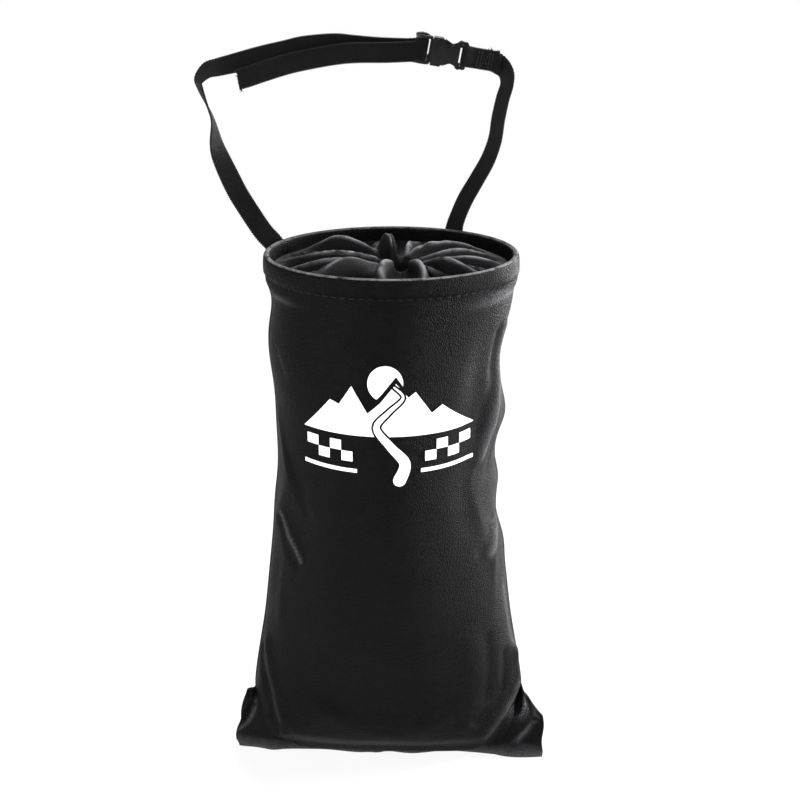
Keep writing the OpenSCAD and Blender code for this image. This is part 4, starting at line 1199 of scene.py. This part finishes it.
def turn_round(s, side):
    return [(s + side * 0.7 * CLEAR, -BAR_HALF - 0.7 * CLEAR, 0), (s + side * CLEAR, -BAR_HALF * 0.8, 0),
            (s + side * CLEAR, BAR_HALF * 0.8, 0), (s + side * 0.7 * CLEAR, BAR_HALF + 0.7 * CLEAR, 0)]


def long_stations():
    up = turn_round(MIDDLE_END, 1)
    path = [(OUTER_BAR - 4, -WRAP - LAYER, -2), (OUTER_BAR - 0.4, -WRAP - LAYER, -1.2),
            (MIDDLE_BAR, -WRAP - LAYER, -0.2), (MIDDLE_END - 0.3, -WRAP - LAYER + 0.2, 0),
            (MIDDLE_END + CLEAR * 0.8, -WRAP - 0.5, 0), up[1], up[2], up[3], (MIDDLE_END, WRAP, -0.1),
            (MIDDLE_BAR, WRAP, -0.6), (OUTER_BAR + 1, WRAP, -1.8), (OUTER_BAR - 4, WRAP * 0.95, -3)]
    return seats(LEFT_SEAT) + route(LEFT_ROUTE) + threaded(path) + route(TAIL_ROUTE)


def short_stations():
    sewn = (WEB_T + WEB_GAP) / 2
    half_way = ((TAIL_END + SEWN_FROM) / 2, (WRAP + sewn) / 2)
    path = ([(28, -sewn, 0), (23, -sewn, 0), (SEWN_FROM, -sewn, 0), (half_way[0], -half_way[1], 0),
             (TAIL_END, -WRAP, 0), (END_BAR, -WRAP, 0)] + turn_round(END_BAR, -1)
            + [(END_BAR, WRAP, 0), (TAIL_END, WRAP, 0), (*half_way, 0), (SEWN_FROM, sewn, 0), (23, sewn, 0),
               (29, sewn, 0.2), (SEWN_END, sewn + 0.2, 1.1)])
    return seats(RIGHT_SEAT) + route(RIGHT_ROUTE) + threaded(path)


def strap_frame(stations, step):
    """Middles, runs, widths and faces along a strap at even small steps."""
    bases = np.array([q[0] for q in stations])
    last = len(bases) - 1
    widths = []
    for i, (_, given) in enumerate(stations):
        if not isinstance(given, (int, float)):
            widths.append(given)
            continue
        run = unit(bases[min(i + 1, last)] - bases[max(i - 1, 0)])
        n = unit(np.cross([0, 1, 0], run))
        a = math.radians(given)
        widths.append(math.cos(a) * n + math.sin(a) * np.cross(run, n))
    gaps = np.linalg.norm(np.diff(bases, axis=0), axis=1)
    steps = [max(2, math.ceil(g / step)) for g in gaps]
    p, w = catmull(bases, steps), catmull(widths, steps)
    run = unit(np.gradient(p, axis=0))
    side = unit(w - (w * run).sum(1, keepdims=True) * run)
    return p, run, side, np.cross(run, side)


def webbing(name, stations, cut_angle=0.0, step=0.3):
    """A flat woven strap with soft selvedges, its ribs standing out of both faces."""
    p, run, side, face = strap_frame(stations, step)
    n = len(p)
    length = np.concatenate([[0], np.cumsum(np.linalg.norm(np.diff(p, axis=0), axis=1))])
    half, thick = WEB_W / 2, WEB_T / 2
    across = np.array([-1, -0.985, -0.93, -0.8, -0.6, -0.4, -0.2, 0, 0.2, 0.4, 0.6, 0.8, 0.93, 0.985, 1])
    body = np.array([0.3, 0.62, 0.92, 1, 1, 1, 1, 1, 1, 1, 1, 1, 0.92, 0.62, 0.3])
    m = len(across)
    order = [(across[i], body[i]) for i in range(m)] + [(across[i], -body[i]) for i in range(m - 1, -1, -1)]
    w = np.array([o[0] for o in order])
    h = np.array([o[1] for o in order])
    rib = 0.05 * np.cos(2 * np.pi * length[:, None] / RIB_PITCH + np.sign(h)[None] * 0.8 + w[None] * 1.2)
    edge = 1 + 0.045 * np.sin(2 * np.pi * length / RIB_PITCH)[:, None] * (np.abs(w) > 0.9)[None]
    lean = np.zeros(n)
    lean[-3:] = np.array([0.3, 0.65, 1.0]) * math.tan(math.radians(cut_angle))
    points = (p[:, None] + side[:, None] * (w[None] * edge * half)[..., None]
              + run[:, None] * (w[None] * half * lean[:, None])[..., None]
              + face[:, None] * (h[None] * thick + rib * np.sign(h)[None] * (np.abs(h) > 0.9))[..., None])
    faces = ring_quads(n, len(order)).tolist()
    for start in (0, (n - 1) * len(order)):
        for i in range(m - 1):
            faces.append([start + i, start + i + 1, start + len(order) - 2 - i, start + len(order) - 1 - i])
    strap = piece_from(name, points.reshape(-1, 3), faces)
    uv = np.stack(np.broadcast_arrays(w[None] * half * MM + 0.02, length[:, None] * MM), -1).reshape(-1, 2)
    set_uv(strap, uv)
    set_mask(strap, "wear_and_highlight", np.broadcast_to((np.abs(w) > 0.9)[None] * 0.8, (n, len(order))).ravel())
    face_outwards(strap)
    smooth_by_angle(strap, 50)
    return strap


def build_straps(looks):
    tint = webbing_material("woven_webbing", looks.webbing)
    left = webbing("long_webbing", long_stations(), TAIL_CUT)
    right = webbing("short_webbing", short_stations())
    for piece, replaced in ((left, "long_strap"), (right, "short_strap")):
        paint(piece, tint)
        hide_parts(replaced)
    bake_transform(left)
    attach(right, "bag")


def stitch_line(a, b):
    """Places of stitches from a to b on the sewn end, each (middle, run, outwards)."""
    a, b = np.array(a, float), np.array(b, float)
    count = max(1, round(np.linalg.norm(b - a) / BOX_PITCH))
    run = in_buckle(*b) - in_buckle(*a)
    out = np.array([0, -1.0, 0]) * np.sign(a[2])
    return [(in_buckle(*(a + (b - a) * (i + 0.5) / count)), run, out) for i in range(count)]


def seat_stitches(stations):
    """A crossed box of stitches where a strap is sewn to the back of the bag."""
    p, run, side, face = strap_frame(stations, 0.5)
    length = np.concatenate([[0], np.cumsum(np.linalg.norm(np.diff(p, axis=0), axis=1))])
    out = face * np.sign((face * p * (1, 1, 0)).sum(1, keepdims=True))

    def at(d, w):
        i = int(np.searchsorted(length, d))
        return p[i] + side[i] * w + out[i] * (WEB_T / 2 + 0.1), out[i]

    low, high, wide = SEAT_LOW, SEAT_HIGH, SEAT_HALF
    corners = [(low, -wide), (low, wide), (high, wide), (high, -wide), (low, -wide), (high, wide),
               (high, -wide), (low, wide)]
    places = []
    for a, b in zip(np.array(corners), np.array(corners[1:])):
        count = max(2, round(math.dist(a, b) / SEAT_PITCH))
        for k in range(count):
            share = (k + 0.5) / count
            middle, away = at(*(a + (b - a) * share))
            behind, ahead = (at(*(a + (b - a) * part))[0]
                             for part in (max(0, share - 0.2), min(1, share + 0.2)))
            places.append((middle, ahead - behind, away))
    return places


def build_strap_stitches(looks):
    tint = thread_material("strap_thread", tuple(c * 1.3 for c in looks.webbing))
    front = (WEB_T + WEB_GAP) / 2 + WEB_T / 2 + 0.1
    places = []
    for t in (front, -front):
        for s in BOX_ROWS:
            places += stitch_line((s, -BOX_HALF, t), (s, BOX_HALF, t))
        for w in (-CROSS_HALF, CROSS_HALF):
            places += stitch_line((BOX_ROWS[1], w, t), (BOX_ROWS[2], -w, t))
    for stations in (long_stations(), short_stations()):
        places += seat_stitches(stations)
    box = stitch_row("strap_stitches", places, length=1.7, thick=0.5, tint=tint)
    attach(box, "bag")


def loose_threads(name, roots, thick, tint):
    """Short curling fibres from (root, direction, length, curl), all in one piece."""
    around = np.radians(np.arange(THREAD_SIDES) * 360 / THREAD_SIDES)[:, None]
    points, faces = [], []
    for root, direction, length, curl in roots:
        heading = unit(np.asarray(direction, float))
        side = unit(np.cross(heading, (0.3, 0.9, 0.2)))
        up = np.cross(side, heading)
        start = len(points) * THREAD_SIDES
        last = start + (THREAD_RINGS - 1) * THREAD_SIDES
        for part in np.linspace(0, 1, THREAD_RINGS):
            bend = curl * length * part ** 2
            middle = np.asarray(root) + heading * length * part + side * bend + up * bend * 0.5 * part
            radius = thick / 2 * (1 - 0.75 * part)
            points.append(middle + radius * (np.cos(around) * side + np.sin(around) * up))
        faces += (ring_quads(THREAD_RINGS, THREAD_SIDES) + start).tolist()
        faces += [[start + THREAD_SIDES - 1 - k for k in range(THREAD_SIDES)],
                  [last + k for k in range(THREAD_SIDES)]]
    piece = piece_from(name, np.concatenate(points), faces, 60)
    paint(piece, tint)
    return piece


def build_loose_threads(looks):
    """Fray at both cut ends, with longer fibres hanging from a corner of the long webbing's end and straying
    from an edge of the sewn end.
    """
    pick = random.Random(7)
    tint = thread_material("frayed_yarn", tuple(c * 1.3 for c in looks.webbing))
    long_end, long_run, long_side, _ = (part[-1] for part in strap_frame(long_stations(), 1.0))
    tail, end = [], []
    slant = 0.4 * math.tan(math.radians(TAIL_CUT))
    for _ in range(looks.threads * 3):
        across = pick.uniform(-1, 1)
        root = long_end + long_side * across * WEB_W / 2 - long_run * (0.4 - slant * across)
        ahead = long_run + long_side * pick.uniform(-0.5, 0.5)
        tail.append((root, ahead, pick.uniform(0.7, 1.5), pick.uniform(-0.4, 0.4)))
    corner = long_end - long_side * WEB_W / 2
    down = np.array([0, 0, -1.0])
    for _ in range(looks.threads // 2):
        root = corner + long_side * pick.uniform(0, 0.9) - long_run * 0.5
        ahead = down + long_run * pick.uniform(-0.4, 0.9)
        tail.append((root, ahead, pick.uniform(1.2, 2.3), pick.uniform(-0.4, 0.4)))
    frayed = loose_threads("tail_fray", tail, 0.34, tint)
    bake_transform(frayed)
    sewn = (WEB_T + WEB_GAP) / 2
    for _ in range(looks.threads * 2):
        w = 1.1 + pick.uniform(-0.5, 0.5) * WEB_W
        root = in_buckle(SEWN_END - 0.4, w, sewn + pick.uniform(-0.4, 0.4))
        ahead = in_buckle(SEWN_END + 1, w + pick.uniform(-0.5, 0.5), sewn + pick.uniform(-0.1, 0.5)) - root
        end.append((root, ahead, pick.uniform(0.6, 1.3), pick.uniform(-0.4, 0.4)))
    for _ in range(looks.threads // 2):
        s = pick.uniform(26, 28)
        root = in_buckle(s, WEB_W / 2 - 0.3, sewn)
        ahead = in_buckle(s + pick.uniform(-2, 2), WEB_W / 2 + 2, sewn) - root
        end.append((root, ahead, pick.uniform(1.4, 2.6), pick.uniform(-0.7, 0.7)))
    frayed = loose_threads("sewn_end_fray", end, 0.45, tint)
    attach(frayed, "bag")


# The buckle

SIDES = ((1, "upper"), (-1, "lower"))
# The plug's shoulders: start and length along the buckle, and edge and foot across it
SHOULDER_FROM, SHOULDER_L, SHOULDER_EDGE, SHOULDER_FOOT = OUTER_BAR - 0.4, 9.9, 8, 7
# Height of each shoulder's arch
ARCH_RISE = {1: 1.5, -1: 0.1}
# How many times the arch would fit along the shoulder, its start, its end and how blunt it is
ARCH_RATE, ARCH_START, ARCH_END, ARCH_BLUNT = 1.15, 0.02, 0.98, 0.6


def mould(piece, body, tint, edge):
    """Rounds a buckle part's edges as moulded plastic has them, and paints it."""
    soft = piece.modifiers.new("soft edges", "BEVEL")
    soft.width, soft.segments, soft.limit_method = edge, 3, "ANGLE"
    soft.angle_limit = math.radians(28)
    apply_modifiers(piece)
    set_mask(piece, "wear_and_highlight", np.zeros(len(piece.data.vertices)))
    smooth_by_angle(piece, 35)
    paint(piece, tint)
    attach(piece, body)


def moulded_copy(name, node_name, body, tint, edge):
    """A copy of a buckle part with its edges rounded as moulded plastic has them."""
    piece = bpy.data.objects.new(name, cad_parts[node_name].data.copy())
    bpy.context.scene.collection.objects.link(piece)
    select_only(piece)
    bpy.ops.mesh.customdata_custom_splitnormals_clear()
    bpy.ops.object.mode_set(mode="EDIT")
    bpy.ops.mesh.select_all(action="SELECT")
    bpy.ops.mesh.remove_doubles(threshold=0.00001)
    bpy.ops.mesh.dissolve_limited(angle_limit=math.radians(1))
    bpy.ops.object.mode_set(mode="OBJECT")
    mould(piece, body, tint, edge)
    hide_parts(node_name)


def buckle_block(name, outline, depth, body, tint, edge):
    """A moulded block of an outline of (along, across) the buckle and of a depth each way."""
    n = len(outline)
    points = [in_buckle(s, w, t) for t in (depth, -depth) for s, w in outline]
    faces = [list(range(n)), list(range(2 * n - 1, n - 1, -1))]
    faces += [[i, i + n, (i + 1) % n + n, (i + 1) % n] for i in range(n)]
    piece = piece_from(name, points, faces)
    face_outwards(piece)
    mould(piece, body, tint, edge)


def shoulder_edge(side, share):
    """How far across the buckle a shoulder reaches at a share of its length."""
    place = share * ARCH_RATE
    if place >= ARCH_END:
        return SHOULDER_EDGE
    return SHOULDER_EDGE + ARCH_RISE[side] * math.sin(math.pi * (place + ARCH_START)) ** ARCH_BLUNT


def build_buckle_details(looks, tint):
    """The plug's arched shoulders, which close on the socket, and the slots' moulded ends."""
    for side, word in SIDES:
        outline = [(SHOULDER_FROM + SHOULDER_L * share, side * shoulder_edge(side, share))
                   for share in np.linspace(0, 1, 13)]
        outline += [(-6.5, side * SHOULDER_FOOT), (SHOULDER_FROM, side * SHOULDER_FOOT)]
        buckle_block(word + "_shoulder", outline, BAR_HALF - 0.05, "plug", tint, looks.edge / 2)
    near, far = MIDDLE_END + CLEAR + 0.75, BLOCK + 0.1
    outline = [(near, -6.3), (far, -6.3), (far, -2.3), (near, -2.6)]
    buckle_block("plug_slot_end", outline, 0.9, "plug", tint, looks.edge / 4)
    for side, word in SIDES:
        outline = [(9.5, side * 6.3), (10.7, side * 6.3), (10.7, side * 4.6), (9.5, side * 4.2)]
        buckle_block(word + "_socket_slot_end", outline, 1.0, "bag", tint, looks.edge / 4)


def build_buckle(looks):
    tint = plastic_material("moulded_plastic", looks.buckle)
    for name, node_name, body in (
        ("plug_moulded", "buckle_plug", "plug"), ("socket_moulded", "buckle_socket", "bag"),
        ("upper_latch_moulded", "upper_latch", "upper_arm"),
        ("lower_latch_moulded", "lower_latch", "lower_arm")):
        moulded_copy(name, node_name, body, tint, looks.edge)
    build_buckle_details(looks, tint)


# The hidden parts


def steel_material():
    made, tree, shader = material("spring_steel", Metallic=1.0, Roughness=0.35)
    place = node(tree, "TexCoord").outputs["Object"]
    tone = use_group(tree, "uneven_tone", {"Vector": place, "Patches per metre": 60.0})
    toned = colour_mix(tree, tone.outputs[0], (0.42, 0.42, 0.44, 1), (0.55, 0.55, 0.57, 1))
    tree.links.new(toned, shader.inputs["Base Color"])
    return made


def elastic_material():
    made, tree, shader = material("ribbed_elastic", Roughness=0.85)
    place = node(tree, "TexCoord").outputs["Object"]
    ribs = node(tree, "TexWave", {"Vector": place, "Scale": 260.0}, bands_direction="Z")
    ribbed = colour_mix(tree, ribs.outputs["Fac"], (0.006, 0.006, 0.006, 1), (0.014, 0.014, 0.014, 1))
    tree.links.new(ribbed, shader.inputs["Base Color"])
    bump(tree, shader, ribs.outputs["Fac"], 0.0002)
    return made


# The stage

# Lamps: place, aim, width, height and how many times the main lamp's power
LAMPS = {
    "key_lamp": ((-0.55, -1.35, 1.3), (0, 0, 0.2), 0.6, 0.6, 1.0),
    "right_lamp": ((1.05, 0.08, 0.3), (0, 0, 0.22), 0.25, 0.9, 2.3),
    "left_lamp": ((-0.9, -0.8, 0.28), (0, 0, 0.12), 0.25, 0.5, 0.5),
    "edge_lamp": ((0.95, 0.9, 0.3), (0, 0, 0.2), 0.3, 0.8, 1.6),
    "back_lamp": ((0.15, 0.75, 1.25), (0, 0, 0.3), 0.6, 0.6, 1.6),
}
CAMERA_AT, CAMERA_TILT, SENSOR_W = (0.005, -0.933, 0.619), 67.85, 36
FLOOR_SIZE, FLOOR_AT = 8, (0, 0, -0.0002)
# How white the camera sees the floor near the bag and far from it, and between which distances
WHITE_NEAR, WHITE_FAR, NEAR, FAR = 0.88, 1.0, 0.25, 1.0
# Strength of the world as a light and as the camera sees it
WORLD_LIGHT, WORLD_SEEN = 0.15, 1.0


def build_floor(looks):
    bpy.ops.object.select_all(action="DESELECT")
    bpy.ops.mesh.primitive_plane_add(size=FLOOR_SIZE, location=FLOOR_AT)
    floor = bpy.context.object
    floor.name = "floor"
    made, tree, shader = material("pale_floor", Roughness=0.9, Specular_IOR_Level=0.1)
    shader.inputs["Base Color"].default_value = (*looks.floor, 1)
    path = node(tree, "LightPath")
    seen = math_node(tree, "MAXIMUM", path.outputs["Is Camera Ray"],
                     math_node(tree, "MAXIMUM", path.outputs["Is Glossy Ray"],
                               path.outputs["Is Transmission Ray"]))
    glow = node(tree, "Emission", {"Color": (1, 1, 1, 1), "Strength": 1.0})
    place = node(tree, "TexCoord").outputs["Object"]
    away = node(tree, "VectorMath", {0: place}, operation="LENGTH").outputs["Value"]
    white = blend_node(tree, ramp(tree, away, NEAR, FAR), WHITE_NEAR, WHITE_FAR)
    share = math_node(tree, "MULTIPLY", seen, white)
    mix = node(tree, "MixShader", {0: share, 1: shader.outputs[0], 2: glow.outputs[0]})
    tree.links.new(mix.outputs[0], tree.nodes["Material Output"].inputs[0])
    floor.data.materials.append(made)


def build_world():
    world = bpy.data.worlds.new("studio")
    bpy.context.scene.world = world
    world.use_nodes = True
    tree = world.node_tree
    background = tree.nodes["Background"]
    background.inputs["Color"].default_value = (1, 1, 1, 1)
    path = node(tree, "LightPath")
    seen = math_node(tree, "MAXIMUM", path.outputs["Is Camera Ray"], path.outputs["Is Transmission Ray"])
    strength = math_node(tree, "MULTIPLY_ADD", seen, WORLD_SEEN - WORLD_LIGHT, WORLD_LIGHT)
    tree.links.new(strength, background.inputs["Strength"])


def build_lamp(name, place, aim, width, height, power):
    light = bpy.data.lights.new(name, "AREA")
    light.shape = "RECTANGLE"
    light.size, light.size_y, light.energy = width, height, power
    made = bpy.data.objects.new(name, light)
    bpy.context.scene.collection.objects.link(made)
    made.location = place
    made.rotation_euler = (Vector(aim) - Vector(place)).to_track_quat("-Z", "Y").to_euler()


def build_camera(looks):
    camera = bpy.data.objects.new("camera", bpy.data.cameras.new("camera"))
    bpy.context.scene.collection.objects.link(camera)
    camera.location = CAMERA_AT
    camera.rotation_euler = (math.radians(CAMERA_TILT), 0, 0)
    camera.data.lens, camera.data.sensor_width = looks.lens, SENSOR_W
    bpy.context.scene.camera = camera
    bpy.context.scene.view_settings.view_transform = "Standard"


# Operators


class BIN_OT_bag(bpy.types.Operator):
    """Make the leather bag with its hem and ears"""

    bl_idname = "bin.bag"
    bl_label = "Leather bag"

    def execute(self, context):
        build_bag(context.scene.bin_bag)
        return {"FINISHED"}


class BIN_OT_hem_stitches(bpy.types.Operator):
    """Sew the hem with a line of stitches"""

    bl_idname = "bin.hem_stitches"
    bl_label = "Hem stitches"

    def execute(self, context):
        build_hem_stitches(context.scene.bin_bag)
        return {"FINISHED"}


class BIN_OT_closure(bpy.types.Operator):
    """Make the gathered closure in the mouth"""

    bl_idname = "bin.closure"
    bl_label = "Gathered closure"

    def execute(self, context):
        build_closure(context.scene.bin_bag)
        return {"FINISHED"}


class BIN_OT_print(bpy.types.Operator):
    """Lay the printed film on the front"""

    bl_idname = "bin.print_film"
    bl_label = "Printed film"

    def execute(self, context):
        build_print(context.scene.bin_bag)
        return {"FINISHED"}


class BIN_OT_straps(bpy.types.Operator):
    """Make both straps of woven webbing"""

    bl_idname = "bin.straps"
    bl_label = "Webbing straps"

    def execute(self, context):
        build_straps(context.scene.bin_strap)
        return {"FINISHED"}


class BIN_OT_strap_stitches(bpy.types.Operator):
    """Sew both straps to the bag, and the short strap's loop"""

    bl_idname = "bin.strap_stitches"
    bl_label = "Strap stitches"

    def execute(self, context):
        build_strap_stitches(context.scene.bin_strap)
        return {"FINISHED"}


class BIN_OT_loose_threads(bpy.types.Operator):
    """Fray the cut ends of the webbing"""

    bl_idname = "bin.loose_threads"
    bl_label = "Loose threads"

    def execute(self, context):
        build_loose_threads(context.scene.bin_strap)
        return {"FINISHED"}


class BIN_OT_buckle(bpy.types.Operator):
    """Round the edges of the side-release buckle's parts"""

    bl_idname = "bin.buckle"
    bl_label = "Side-release buckle"

    def execute(self, context):
        build_buckle(context.scene.bin_strap)
        return {"FINISHED"}


class BIN_OT_hidden_parts(bpy.types.Operator):
    """Finish the spring hoop and the elastic, which lie in their casings"""

    bl_idname = "bin.hidden_parts"
    bl_label = "Hoop and elastic"

    def execute(self, context):
        paint(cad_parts["mouth_hoop"], steel_material())
        paint(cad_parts["closure_elastic"], elastic_material())
        return {"FINISHED"}


class BIN_OT_stage(bpy.types.Operator):
    """Make the floor, the lamps and the camera"""

    bl_idname = "bin.stage"
    bl_label = "Stage"

    def execute(self, context):
        looks = context.scene.bin_stage
        build_floor(looks)
        build_world()
        for name, (place, aim, width, height, share) in LAMPS.items():
            build_lamp(name, place, aim, width, height, looks.power * share)
        build_camera(looks)
        return {"FINISHED"}


class BIN_PT_parts(bpy.types.Panel):
    """Lists the parts of the trash bin and their looks"""

    bl_label = "Car trash bin"
    bl_space_type = "VIEW_3D"
    bl_region_type = "UI"
    bl_category = "Trash bin"

    def draw(self, context):
        layout = self.layout
        for made in OPERATORS:
            layout.operator(made.bl_idname)
        for looks in (context.scene.bin_bag, context.scene.bin_strap, context.scene.bin_stage):
            box = layout.box()
            for key in looks.__annotations__:
                box.prop(looks, key)


OPERATORS = (BIN_OT_stage, BIN_OT_bag, BIN_OT_hem_stitches, BIN_OT_closure, BIN_OT_print,
             BIN_OT_straps, BIN_OT_strap_stitches, BIN_OT_loose_threads, BIN_OT_buckle, BIN_OT_hidden_parts)
LOOKS = (("bin_bag", BagLooks), ("bin_strap", StrapLooks), ("bin_stage", StageLooks))


def register():
    for _, looks in LOOKS:
        bpy.utils.register_class(looks)
    for name, looks in LOOKS:
        setattr(bpy.types.Scene, name, PointerProperty(type=looks))
    for made in (*OPERATORS, BIN_PT_parts):
        bpy.utils.register_class(made)


def unregister():
    for made in (BIN_PT_parts, *reversed(OPERATORS)):
        bpy.utils.unregister_class(made)
    for name, looks in reversed(LOOKS):
        delattr(bpy.types.Scene, name)
        bpy.utils.unregister_class(looks)


def main():
    register()
    for made in OPERATORS:
        group_name, operator = made.bl_idname.split(".")
        getattr(getattr(bpy.ops, group_name), operator)()
    bpy.context.view_layer.update()


if __name__ == "__main__":
    main()
